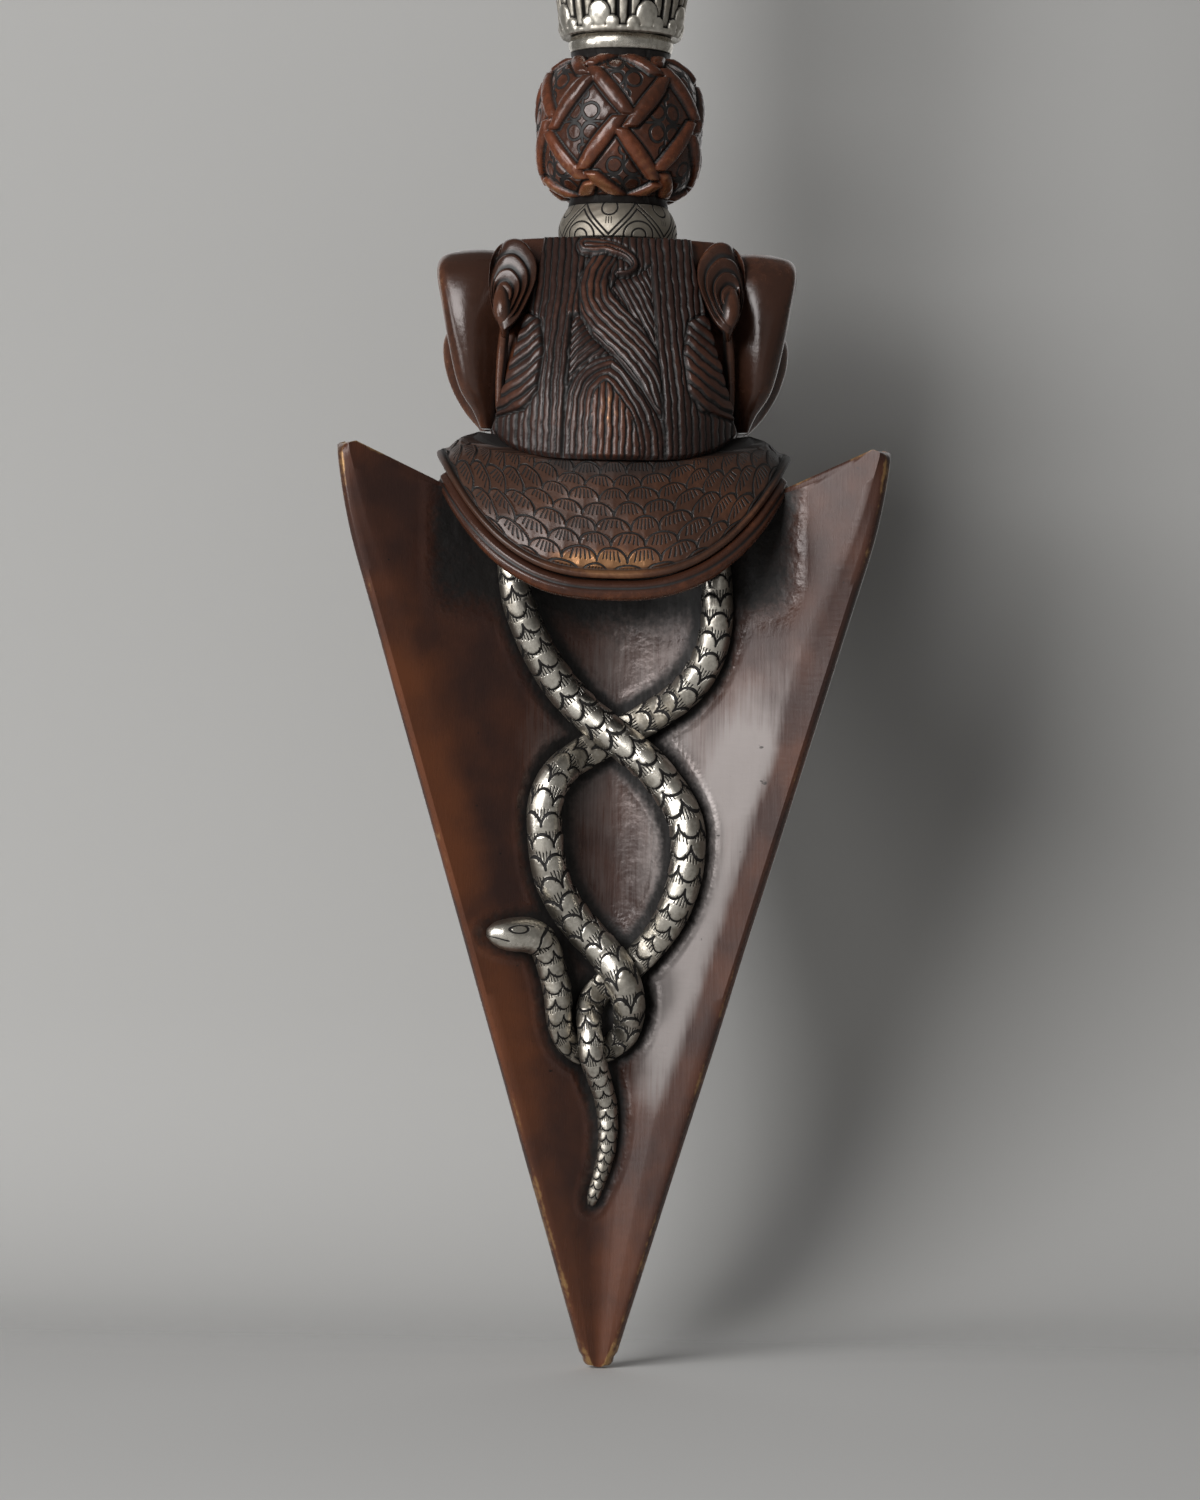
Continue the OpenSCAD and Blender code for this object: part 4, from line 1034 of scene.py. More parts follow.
def eased_outline(points, steps):
    """Radii and heights from bottom to top, close together, with both ends rounded a little."""
    curve = through(points, steps)
    radius, height = curve[:, 0], curve[:, 1]
    first = [(radius[0] - ROUND_END, height[0]), (radius[0] - 0.3 * ROUND_END, height[0] + 0.07)]
    last = [(radius[-1] - 0.3 * ROUND_END, height[-1] - 0.07), (radius[-1] - ROUND_END, height[-1])]
    middle = [(r, h) for r, h in zip(radius, height) if height[0] + 0.15 < h < height[-1] - 0.15]
    first.append((radius[0], height[0] + 0.2))
    last.insert(0, (radius[-1], height[-1] - 0.2))
    rows = np.array(first + middle + last)
    return rows[:, 0], rows[:, 1]


def dome_outline(z, low, high, tall, bulge):
    """A bulging outline from the radius low at z to the radius high."""
    t = np.linspace(0, 1, 30)
    return eased_outline([(low + (high - low) * k + bulge * math.sin(math.pi * k), z + tall * k)
                          for k in t], 1)


PLAIN_SIDES = 144
WEAR = 0.04


def plain_turned(name, node, radius, height, finish, upside_down=False):
    """A silver piece without ornament in its mesh; its pattern is the angle and the height."""
    a = angles(PLAIN_SIDES)
    relief = WEAR * ripple(np.radians(a[:-1])[None] * 8, height[:, None], (7.0, 3.0, 1.2), len(name))
    edge = np.minimum(height - height[0], height[-1] - height)
    cut = np.broadcast_to(fall(edge, 0.0, 0.35)[:, None] * 0.85, relief.shape)
    marks = {"rise": 0.6 - 0.5 * cut, "cut": cut}
    pattern = np.stack(np.broadcast_arrays(a[None], (height - height[0])[:, None], 0.0), -1)
    turned_work(name, node, radius, height, relief, marks, pattern, finish, upside_down)


for node, z, upside_down in (("neck_collar", HEAD_TOP, False), ("upper_collar", UPPER_COLLAR_Z, True)):
    radius, height = dome_outline(z, COLLAR_R, COLLAR_TOP_R, COLLAR_H, 0.7)
    plain_turned("engraved_" + node, node, radius, height, collar_silver, upside_down)
for node, z in (("lower_ring", RING_Z), ("upper_ring", UPPER_RING_Z)):
    radius, height = dome_outline(z, RING_R - 0.3, RING_R - 0.3, RING_H, 0.42)
    plain_turned("polished_" + node, node, radius, height, plain_silver)


def lotus(name, node, z, upside_down):
    """A lotus: its outline swells to its widest at full, and inside is the depth within a petal."""
    t = np.concatenate([[0, 0.004, 0.01], np.linspace(0.02, 0.985, 120), [0.993, 1.0]])
    full = 0.55
    swell = LOTUS_R + (LOTUS_WIDE_R - LOTUS_R) * np.sin(np.pi / 2 * t / full)
    past_full = clamp((t - full) / (1 - full))
    radius = np.where(t < full, swell, LOTUS_WIDE_R - (LOTUS_WIDE_R - LOTUS_TOP_R) * past_full ** 1.7)
    radius[:3] = [8.3, 8.6, 8.75]
    radius[-2:] = [6.55, 6.35]
    h = t * LOTUS_H
    angle = angles(LOTUS_SIDES)
    g = np.abs(wrapped(angle - PETAL_START, 360 / RIBS)) / (180 / RIBS)
    band = soft_step(h, 0.6, 1.2) * fall(h, *LOTUS_RIM)
    gap = soft_step(g, 0.5, 0.86)[None] * band[:, None]
    rib = (0.5 * np.sqrt(clamp(1 - g ** 2)) - 0.5)[None] * band[:, None] - 0.35 * gap
    x = np.radians(wrapped(angle - PETAL_START, 360 / PETALS))[None] * 9.0
    y = h[:, None]
    inside = np.full(rib.shape, -1.0)
    for cx, cy, rx, ry, tall in LOBES:
        inside = np.maximum(inside, tall * (1 - ((x - cx) / rx) ** 2 - ((y - cy) / ry) ** 2))
    foot = np.clip(1 - (y / 0.8) ** 2, -1, 1) * 0.5
    inside = np.maximum(inside, foot)
    leaf = soft_step(inside, -0.02, 0.1)
    relief = rib * (1 - leaf) + leaf * (0.1 + 0.42 * np.sqrt(clamp(inside)))
    outline = bell(inside + 0.06, 0.13)
    relief = relief - 0.3 * outline * (1 - leaf)
    relief += 0.04 * ripple(np.radians(angle)[None] * 9, h[:, None], (2.3, 1.1), 5)
    rim = soft_step(h, *LOTUS_RIM)[:, None]
    relief = relief + rim * 0.15 * np.cos((h[:, None] - 21.2) * 1.6)
    foot_shade = 0.35 * (1 - leaf) * fall(h, 1, 6)[:, None]
    cut = clamp(gap * (1 - leaf) * 1.1 + 0.9 * outline + foot_shade)
    cut = np.maximum(cut, fall(np.abs(h - 20.4), 0.1, 0.5)[:, None] * 0.9)
    marks = {"rise": clamp(0.2 + leaf * 0.6 + (1 - g[None] ** 2) * 0.3)[:, :-1], "cut": cut[:, :-1]}
    turned_work(name, node, radius, z + h, relief[:, :-1], marks, None, lotus_silver, upside_down)


lotus("ribbed_lower_lotus", "lower_lotus", LOTUS_Z, False)
lotus("ribbed_upper_lotus", "upper_lotus", UPPER_LOTUS_Z, True)

# %% [markdown]
# What repeats round the axis is made once and set out by a small node tree. The tree puts copies on
# as many points, each turned by its share of the circle, and joins them into one mesh. It serves the
# bead's grains, the pommel's petals and the vajra's prongs, which the photograph does not show, so all
# three keep to the plain forms that such daggers usually have.

# %% A node tree that repeats a mesh round the axis
def round_the_axis():
    """The tree: its inputs are a shape, how many copies, the first one's angle and a metal."""
    tree = bpy.data.node_groups.new("Round the axis", "GeometryNodeTree")
    face = tree.interface
    for label, kind, low in (("Copies", "NodeSocketInt", 1), ("Start", "NodeSocketFloat", None)):
        socket = face.new_socket(label, in_out="INPUT", socket_type=kind)
        if low is not None:
            socket.min_value = low
    face.new_socket("Shape", in_out="INPUT", socket_type="NodeSocketGeometry")
    face.new_socket("Metal", in_out="INPUT", socket_type="NodeSocketMaterial")
    face.new_socket("Geometry", in_out="OUTPUT", socket_type="NodeSocketGeometry")
    face.move(face.items_tree["Shape"], 0)
    node = {key: tree.nodes.new(kind) for key, kind in (
        ("in", "NodeGroupInput"), ("points", "GeometryNodePoints"), ("index", "GeometryNodeInputIndex"),
        ("share", "ShaderNodeMath"), ("angle", "ShaderNodeMath"), ("turn", "ShaderNodeCombineXYZ"),
        ("copies", "GeometryNodeInstanceOnPoints"), ("join", "GeometryNodeRealizeInstances"),
        ("metal", "GeometryNodeSetMaterial"), ("out", "NodeGroupOutput"))}
    node["share"].operation = "DIVIDE"
    node["share"].inputs[0].default_value = 2 * math.pi
    node["angle"].operation = "MULTIPLY_ADD"
    for source, out, target, into in (
            ("in", "Copies", "points", "Count"), ("in", "Copies", "share", 1), ("index", 0, "angle", 0),
            ("share", 0, "angle", 1), ("in", "Start", "angle", 2), ("angle", 0, "turn", "Z"),
            ("points", 0, "copies", "Points"), ("in", "Shape", "copies", "Instance"),
            ("turn", 0, "copies", "Rotation"), ("copies", 0, "join", 0), ("join", 0, "metal", "Geometry"),
            ("in", "Metal", "metal", "Material"), ("metal", 0, "out", 0)):
        tree.links.new(node[source].outputs[out], node[target].inputs[into])
    return tree


axis_tree = round_the_axis()


def evaluated_mesh(piece):
    """A new mesh: the piece's own with its modifiers applied."""
    return bpy.data.meshes.new_from_object(piece.evaluated_get(bpy.context.evaluated_depsgraph_get()))


def repeated(piece, copies, start, finish):
    """The piece's mesh repeated round the axis by the tree, as plain mesh."""
    modifier = piece.modifiers.new("Round the axis", "NODES")
    modifier.node_group = axis_tree
    wanted = {"Copies": copies, "Start": math.radians(start), "Metal": finish}
    for item in axis_tree.interface.items_tree:
        if item.in_out == "INPUT" and item.name in wanted:
            modifier[item.identifier] = wanted[item.name]
    mesh = evaluated_mesh(piece)
    piece.modifiers.clear()
    mesh.name = piece.name
    piece.data = mesh
    return piece


def merged(name, parts, finish):
    """Several parts as one mesh."""
    points, faces, carried = [], [], {}
    for part_points, part_faces, part_carried in parts:
        base = sum(len(earlier) for earlier in points)
        points.append(np.asarray(part_points))
        faces += [np.asarray(face) + base for face in part_faces]
        for key, values in part_carried.items():
            carried.setdefault(key, []).append(np.asarray(values))
    carried = {key: np.concatenate(values) for key, values in carried.items()}
    return make_piece(name, (np.concatenate(points), faces, carried), finish)


def ball(centre, radii, rows=10, sides=16):
    """A closed ellipsoid with its marks."""
    t = np.linspace(0.03, np.pi - 0.03, rows)
    a = circle(sides)
    grid = np.stack([np.sin(t)[:, None] * np.cos(a)[None], np.sin(t)[:, None] * np.sin(a)[None],
                     np.cos(t)[:, None] + 0 * a[None]], -1)
    rise = np.full((rows, sides), 0.6)
    return ringed(np.asarray(centre) + grid * np.asarray(radii), {"rise": rise, "cut": 0.3 * (1 - rise)})


def joined(pieces):
    """Several mesh objects as one, in the first one's place."""
    with bpy.context.temp_override(active_object=pieces[0], object=pieces[0], selected_objects=pieces,
                                   selected_editable_objects=pieces):
        bpy.ops.object.join()
    return pieces[0]


# %% The bead
BEAD_END_R = 6.8
BEAD_SIDES = 96
GRAINS = 36
GRAIN = (0.62, 0.5, 0.62)
radius, height = dome_outline(BEAD_Z, BEAD_END_R, BEAD_END_R, BEAD_H, BEAD_R - BEAD_END_R)
belt = fall(np.abs(height - BEAD_Z - BEAD_H / 2), 0.9, 1.5)
marks = {"rise": np.full((len(radius), BEAD_SIDES), 0.5),
         "cut": np.repeat(belt[:, None] * 0.7, BEAD_SIDES, 1)}
grains = merged("grains", [ball((0, -BEAD_R, BEAD_Z + BEAD_H / 2), GRAIN)], plain_copper)
grains = repeated(grains, GRAINS, 0, plain_copper)
bead = make_piece("grained_bead", ringed(turned_grid(radius, height, BEAD_SIDES), marks), plain_copper)
settle(joined([bead, grains]), ["grip_bead"])

# %% The pommel
SEAT_SIDES = 96
SEAT_PETALS = 8
PETAL_HALF = 4.1
bowl = [(COLLAR_R + (SEAT_R - 0.9 - COLLAR_R) * math.sin(math.pi / 2 * k), SEAT_Z + 0.8 * SEAT_H * k)
        for k in np.linspace(0, 1, 26)]
lid = [(SEAT_R - 1.6, SEAT_Z + 0.92 * SEAT_H), (SEAT_R - 2.8, SEAT_Z + SEAT_H)]
seat = turned_grid(*eased_outline(bowl + lid, 1), SEAT_SIDES)
marks = {"rise": np.full(seat.shape[:2], 0.35), "cut": np.full(seat.shape[:2], 0.45)}
body = merged("pommel_petals", [ringed(seat, marks)], lotus_silver)


def petal(wide, low, high, out_low, out_high):
    """A domed petal on the front, its tip turned outwards a little."""
    t = np.linspace(0, 1, 22)
    u = np.linspace(-1, 1, 21)
    half = wide * np.sin(np.pi * clamp(0.28 + 0.72 * t)) ** 0.8
    middle = out_low + (out_high - out_low) * np.sin(np.pi / 2 * t)
    bend = np.degrees(half / np.maximum(middle, 1))[:, None] * u[None]
    rise = 0.75 * (1 - u[None] ** 2) ** 0.6 + 0 * t[:, None] - 0.12 * bell(u[None], 0.12)
    front = (middle[:, None] + rise * (0.35 + 0.65 * np.sin(np.pi * t)[:, None]))
    a = np.radians(bend)
    z = (low + (high - low) * t)[:, None] + 0 * a
    outer = np.stack([front * np.sin(a), -front * np.cos(a), z], -1)
    back = middle[:, None] - 0.7 + 0 * a
    inner = np.stack([back * np.sin(a), -back * np.cos(a), z], -1)
    rings = np.concatenate([outer, inner[:, ::-1]], 1)
    high_mark = np.concatenate([clamp(rise / 0.75), np.zeros_like(a)], 1)
    return ringed(rings, {"rise": high_mark, "cut": clamp(0.8 - 1.6 * high_mark)})


petals = petal(PETAL_HALF, SEAT_Z + 0.5, SEAT_Z + 0.86 * SEAT_H, COLLAR_R, SEAT_R - 0.75)
petals = repeated(merged("petals", [petals], lotus_silver), SEAT_PETALS, 180 / SEAT_PETALS, lotus_silver)
settle(joined([body, petals]), ["pommel_lotus"])

# %% [markdown]
# The beast is a makara whose head grips the blade from above. In front hangs the scaled pouch of its
# lower jaw with a lip round it, above lies the combed mane, and beside it stand the ears and the curled
# horns. Each keeps the CAD's rule for its shape. First the rules, then the mane: its strands follow
# drawn guide lines, so a lock that sweeps across is one long curve and the hair keeps its distance.

# %% The beast's rules
HEAD_H = 48.5
SKULL_W = 19.4
NAPE_Y = 23.5
BROW_Y = 18.0
HEM_Z = HOLLOW_Z + 14.5
HEM_RISE = 5.0
TEMPLE = 32.0
JAW_SPAN = 74.0
LIP_SPAN = JAW_SPAN - 12
JAW_W = 26.4
JAW_Y = 28.0
JAW_T = 2.8
JAW_LOW = HOLLOW_Z - 2.8
JAW_RISE = 18.5
JAW_DOME = HOLLOW_Z + 24
RIM_POWER = 3
MANE_T = 1.6
MANE_TOP_W = 11.0
MANE_W = 18.4
SEAT_GAP = 0.15


def nape(z):
    """How far the nape reaches towards the camera."""
    return NAPE_Y - 13 * (np.maximum(0, z - HOLLOW_Z - 20.5) / (HEAD_H - 20.5)) ** 1.35


def brow(z):
    """How far the face reaches away from the camera."""
    return BROW_Y * (1 - 0.42 * (np.maximum(0, z - HOLLOW_Z - 30) / (HEAD_H - 30)) ** 2)


def skull_half(z):
    """Half of the skull's width."""
    low = 0.9 + 0.1 * np.sin(np.pi / 2 * clamp((z - HEM_Z) / (HOLLOW_Z + TEMPLE - HEM_Z)))
    high = 1 - 0.15 * (np.maximum(0, z - HOLLOW_Z - TEMPLE) / (HEAD_H - TEMPLE)) ** 2.5
    return SKULL_W * np.where(z < HOLLOW_Z + TEMPLE, low, high)


def skull_back(z):
    """How far the bare skull reaches towards the camera, under the mane and the jaw."""
    low = np.minimum(nape(z) - MANE_T, JAW_Y * jaw_fall(0, z) - JAW_T) - SEAT_GAP
    return np.where(z < HEM_Z + HEM_RISE + 0.3, low, nape(z) - MANE_T - 2 * SEAT_GAP)


def skull_side(y, z):
    """Half of the skull's width at a depth y."""
    return skull_half(z) * np.sqrt(clamp(1 - (y / np.where(y < 0, skull_back(z), brow(z))) ** 2))


def square_off(w, power):
    """How far a squared-off circle reaches, as a share of the round one, w radians round it."""
    return (np.abs(np.cos(w)) ** power + np.abs(np.sin(w)) ** power) ** (-1 / power)


def rim_side(a):
    """How far aside the jaw's rim is, as a share of the jaw's half width, a degrees from the front."""
    return np.abs(np.sin(np.radians(a))) * square_off(np.radians(a), RIM_POWER)


def rim_z(a):
    """Height of the jaw's lower rim."""
    return JAW_LOW + JAW_RISE * (rim_side(a) / rim_side(JAW_SPAN)) ** 2.7


def jaw_crown(a):
    """Height of the jaw's upper edge."""
    return HEM_Z + HEM_RISE * (np.abs(np.sin(np.radians(a))) / math.sin(math.radians(JAW_SPAN))) ** 4


def jaw_fall(a, z):
    """How much of its full width the jaw has left at height z."""
    return np.cos(np.radians(57 * np.maximum(0, z - rim_z(a)) / (JAW_DOME - rim_z(a))))


def jaw_at(a, t, inset):
    """A point of the jaw: a degrees from the front, t up from its rim to its crown."""
    z = rim_z(a) + t * (jaw_crown(a) - rim_z(a))
    f = jaw_fall(a, z)
    k = 1 + (square_off(np.radians(a), RIM_POWER) - 1) * (1 - t)
    return np.stack(np.broadcast_arrays((JAW_W * f - inset) * k * np.sin(np.radians(a)),
                                        -(JAW_Y * f - inset) * k * np.cos(np.radians(a)), z), -1)


def mane_at(u, t, inset):
    """A point of the mane: u from side to side, t from crown to hem."""
    z = HEAD_TOP - t * (HEAD_TOP - HEM_Z - SEAT_GAP - HEM_RISE * np.abs(u) ** 3)
    half = MANE_TOP_W + (MANE_W - MANE_TOP_W) * t ** 1.2
    w = skull_half(z) + MANE_T + 2 * SEAT_GAP
    a = u * np.arcsin(np.clip(half / w, -1, 1))
    return np.stack([(w - inset) * np.sin(a), -(nape(z) - inset) * np.cos(a), z], -1)


def away_from(x, z, guide):
    """Signed distance of points from a drawn line, its left side positive, and the length along it."""
    g = np.asarray(through(guide, 10))
    best = np.full(x.shape, 1e9)
    signed, along = np.zeros(x.shape), np.zeros(x.shape)
    run = 0.0
    for k in range(len(g) - 1):
        step = g[k + 1] - g[k]
        size = math.hypot(*step)
        t = ((x - g[k][0]) * step[0] + (z - g[k][1]) * step[1]) / size ** 2
        c = clamp(t)
        dx, dz = x - g[k][0] - c * step[0], z - g[k][1] - c * step[1]
        d = np.hypot(dx, dz)
        closer = d < best
        best = np.where(closer, d, best)
        side = np.sign(step[0] * dz - step[1] * dx)
        signed = np.where(closer, d * side, signed)
        along = np.where(closer, run + c * size, along)
        run += size
    return signed, along


def inside_of(x, z, outline):
    """Signed depth of points inside a closed outline, smooth for a little way past it."""
    loop = np.asarray(outline, float)
    best = np.full(x.shape, 1e9)
    inside = np.zeros(x.shape, bool)
    for a, b in zip(loop, np.roll(loop, -1, axis=0)):
        step = b - a
        t = clamp(((x - a[0]) * step[0] + (z - a[1]) * step[1]) / max(step @ step, 1e-9))
        best = np.minimum(best, np.hypot(x - a[0] - t * step[0], z - a[1] - t * step[1]))
        at_height = (b[0] - a[0]) * (z - a[1]) / (b[1] - a[1] + 1e-12) + a[0]
        inside ^= ((a[1] > z) != (b[1] > z)) & (x < at_height)
    return np.where(inside, best, -best)


print("jaw rim from", round(float(rim_z(0)), 1), "to", round(float(rim_z(JAW_SPAN)), 1))

# %% The mane
LOCK = [(-1.9, 165.8), (-3.6, 162.6), (-3.8, 158.7), (-1.8, 155.6), (1.8, 152.2), (5.4, 147.9),
        (7.2, 143.6)]
LOCK_LEFT = [(-3.3, 166.6), (-5.4, 162.2), (-5.3, 157.1), (-3.3, 153.2), (0.3, 149.8), (3.9, 145.5),
             (6.8, 141.0)]
LOCK_RIGHT = [(6.6, 147.0), (6.0, 150.8), (4.1, 154.2), (1.3, 157.2), (-1.0, 159.9), (-1.4, 162.2),
              (0.6, 166.4)]
HOOK = [(-4.6, 166.9), (-0.8, 166.5), (1.6, 165.5), (2.6, 164.0), (1.7, 162.9), (0.0, 162.7)]
FAN_LEFT = [(-0.1, 150.6), (-3.2, 149.8), (-5.6, 147.8), (-7.0, 144.8), (-7.4, 141.0), (-7.6, 133.5)]
FAN_RIGHT = [(-0.1, 150.6), (2.0, 148.6), (4.3, 145.6), (6.2, 142.4), (7.2, 139.0), (7.6, 133.5)]
WEDGE_LEFT = [(-6.6, 156.2), (-5.4, 156.4), (-3.6, 153.2), (-0.6, 150.8), (-3.4, 149.9), (-5.8, 147.9),
              (-7.0, 146.0)]
WEDGE_RIGHT = [(-0.8, 160.6), (0.2, 162.4), (2.6, 162.6), (4.9, 164.0), (5.6, 157.0), (6.0, 151.4),
               (4.1, 154.6), (1.5, 157.6)]
CURTAIN_LEFT = [(-5.6, 168.6), (-5.9, 161.0), (-6.5, 155.1), (-7.1, 149.3), (-7.4, 143.8), (-7.6, 133.5)]
CURTAIN_RIGHT = [(4.6, 168.6), (5.4, 159.3), (6.2, 151.4), (7.2, 143.2), (7.7, 133.5)]
FLUTES = [(-20, 155.4), (-13.2, 156.8), (-11.2, 155.6), (-10.6, 150.8), (-11.4, 145.3), (-13.2, 142.4),
          (-20, 141.0)]
STRAND = 0.98


def strands(place, seed, x, z, pitch=STRAND, deep=0.42):
    """Rounded strands across a coordinate that grows by a pitch from one strand to the next."""
    wave = place + 0.14 * ripple(x, z, (5.0, 2.2), seed) + 0.035 * ripple(x, z, (2.1, 1.1), seed + 1)
    index = np.floor(wave / pitch)
    c = np.abs(wave / pitch - index - 0.5) * 2
    nicks = 0.05 * ripple(x + index * 3.1, z + index * 1.7, (4.2, 2.3), seed + 2)
    uneven = 0.1 * np.sin(index * 2.4 + seed) + nicks
    return deep * (np.sqrt(clamp(1 - c ** 2.2)) - 1) + uneven, soft_step(c, 0.5, 0.86)


def mane_relief(x, z):
    """Height and darkness of the hair at places of the front plane."""
    left, _ = away_from(x, z, CURTAIN_LEFT)
    right, _ = away_from(x, z, CURTAIN_RIGHT)
    height, dark = strands(np.where(x < 0, left, right), 3, x, z)
    height = height + 0.25
    fan_left, _ = away_from(x, z, FAN_LEFT)
    fan_right, _ = away_from(x, z, FAN_RIGHT)
    nearest = np.minimum(np.abs(fan_left), np.abs(fan_right))
    middle = soft_step(nearest, 3.6, 4.6)
    place = np.where(middle > 0.5, x + 0.35, nearest)
    fan = inside_of(x, z, FAN_LEFT + FAN_RIGHT[::-1])
    lock = inside_of(x, z, LOCK_LEFT + LOCK_RIGHT)
    layers = [(fan, strands(place, 5, x, z), 0.2 + 0.5 * soft_step(nearest, 2.0, 5.0)),
              (inside_of(x, z, WEDGE_LEFT), strands(x * 0.68 - z * 0.73, 6, x, z, 0.85), -0.05),
              (inside_of(x, z, WEDGE_RIGHT), strands(x * 0.88 + z * 0.47, 7, x, z, 0.85), -0.05),
              (lock, strands(away_from(x, z, LOCK)[0] + 0.4, 8, x, z), 0.55)]
    mirrored = np.where(x > 0, -x - 0.6, x)
    flute = inside_of(mirrored, z, FLUTES)
    barb = z + 2.4 * np.abs(x) - 0.0625 * x * x
    layers.append((flute, strands(barb, 9, x, z, 1.72, 0.62), 0.8))
    hook, along = away_from(x, z, HOOK)
    layers.append((1.35 - 0.1 * along - np.abs(hook), strands(hook + 0.26, 10, x, z, 0.7, 0.25), 0.9))
    for depth, (rows, gaps), lift in layers:
        cover = soft_step(depth, -0.12, 0.12)
        edge = bell(depth + 0.15, 0.22)
        round_off = 0.35 * np.sqrt(clamp(depth / 1.2)) - 0.35
        height = height * (1 - cover) + (rows + lift + round_off) * cover - 0.25 * edge
        dark = np.maximum(dark * (1 - cover) + gaps * cover, edge * 0.9)
    return height, clamp(dark)


def shell(outer, inner, rise, cut, pattern=None):
    """A closed part from an outer and an inner sheet; the inner one is dull and painted black as shade."""
    blank = np.zeros(inner.shape[:2])
    marks = {"rise": np.concatenate([rise, blank], 1), "cut": np.concatenate([cut, blank + 1], 1)}
    return ringed(np.concatenate([outer, inner], 1), marks, pattern)


MANE_ROWS = 230
MANE_COLUMNS = 280
MANE_INNER = 40
hair_copper = copper_finish("hair copper", shine=0.32, brown=(0.026, 0.011, 0.008),
                            red=(0.085, 0.030, 0.016), worn_low=0.85, worn_high=1.3)
t = np.linspace(0, 1, MANE_ROWS)[:, None]
u = np.linspace(-1, 1, MANE_COLUMNS)[None]
outer = mane_at(u, t, 0.0)
relief, dark = mane_relief(outer[..., 0], outer[..., 2])
side = clamp((1 - np.abs(u)) / 0.04)
ends = clamp(np.minimum(t / 0.01, (1 - t) / 0.02))
relief = (relief + 0.3) * np.minimum(side, ends) - 0.3
outer = lifted(outer, relief, around=False)
inner = mane_at(np.linspace(1, -1, MANE_INNER)[None], t, MANE_T - 0.1)
# Rubbing on the bulge of the nape, which also paints a highlight there.
wear_and_highlight = np.exp(-((outer[..., 0] + 0.6) / 3.0) ** 2 - ((outer[..., 2] - 142.5) / 6.5) ** 2)
rise = clamp((relief + 0.2) * 0.5 + 0.5 * wear_and_highlight) * (1 - dark)
make_piece("combed_mane", shell(outer, inner, rise, dark), hair_copper, ["mane"])

# %% [markdown]
# The jaw's scales point upwards, towards the hair. Each stands a little proud of the one behind it, and
# its outline and the strokes under its tip are cut by the shader, which can draw them thinner than the
# mesh could. The jaw's shoulders are rounded over. The lip is a rolled edge with a groove along it.

# %% The lower jaw and its lip
JAW_SCALE_LONG = 2.35
JAW_SCALE_WIDE = 4.4
JAW_SCALE_ROUND = 2.0
JAW_ROWS = 150
JAW_COLUMNS = 340
JAW_INNER = 60
JAW_PROUD = 0.22
JAW_SHOULDER = 0.9
LIP_GROOVE = 1.35


def jaw_lines(f):
    """The jaw's scales, a little unevenly cut, with strokes under their tips."""
    along, across, clear = f.pattern()
    along = along + (f.noise(6.0, 1) - 0.5) * 1.2
    across = across + (f.noise(5.0, 1) - 0.5) * 1.4
    return clear * scale_lines(f, along, across, JAW_SCALE_LONG, JAW_SCALE_WIDE, JAW_SCALE_ROUND,
                               0.16, 10, True)


jaw_copper = copper_finish("jaw copper", jaw_lines, shine=0.34, brown=(0.050, 0.022, 0.013),
                           red=(0.125, 0.048, 0.022), worn_low=0.6, worn_high=1.3)
t = np.linspace(0, 1, JAW_ROWS)[:, None]
a = np.linspace(-JAW_SPAN, JAW_SPAN, JAW_COLUMNS)[None]
outer = jaw_at(a, t, 0.0)
up_length = np.concatenate([np.zeros((1, a.shape[1])),
                            np.cumsum(np.linalg.norm(np.diff(outer, axis=0), axis=2), axis=0)])
across = np.radians(a) * JAW_W * 0.93 + 0 * t
past, ahead = shingles(up_length, across, JAW_SCALE_LONG, JAW_SCALE_WIDE, JAW_SCALE_ROUND)
proud = JAW_PROUD * (past / (past + ahead) - 0.5) + 0.10 * ripple(across, up_length, (16.0, 7.0), 21)
clear = soft_step(up_length, 1.3, 1.8)
rolled = 0.35 * bell(up_length - 0.6, 0.5)
rolled = rolled - 0.3 * bell(up_length - LIP_GROOVE, 0.25)
fade = clamp((JAW_SPAN - np.abs(a)) / 2) * clamp(np.minimum(t, 1 - t) / 0.01)
ends = soft_step(np.abs(a), JAW_SPAN - 16, JAW_SPAN + 2) * soft_step(t, 0.2, 0.55)
shoulder = np.maximum(ends, soft_step(t, 0.68, 1.05) * soft_step(np.abs(a), 35, 65))
outer = lifted(outer, (proud * clear + rolled) * fade - JAW_SHOULDER * shoulder, around=False)
inner = jaw_at(np.linspace(JAW_SPAN, -JAW_SPAN, JAW_INNER)[None], t, JAW_T)
# A rubbed patch and a polished spot low on the jaw's front; both also paint the bright highlight that lies
# there.
wear_and_highlight = np.exp(-((outer[..., 0] + 0.5) / 9) ** 2 - ((up_length - 2.0) / 3.0) ** 2)
polish_and_highlight = np.exp(-((outer[..., 0] + 1.5) / 5.5) ** 2 - ((up_length - 2.3) / 1.1) ** 2)
# Dark in the lip's groove; the darkening towards the jaw's ends, on its right side and at its top under the
# mane is painted shade.
dark = 0.6 * bell(up_length - LIP_GROOVE, 0.3) + 0.4 * soft_step(np.abs(a), 40, 70)
dark = clamp(dark + 0.35 * soft_step(a, 32, 60) + 0.6 * soft_step(up_length, 14, 17))
pattern = np.stack([up_length, across, clear], -1)
pattern = np.concatenate([pattern, np.zeros((JAW_ROWS, JAW_INNER, 3)), pattern[:, :1]], 1)
make_piece("scaled_jaw", shell(outer, inner, 0.25 + 0.75 * wear_and_highlight + 1.1 * polish_and_highlight, dark, pattern),
           jaw_copper, ["lower_jaw"])

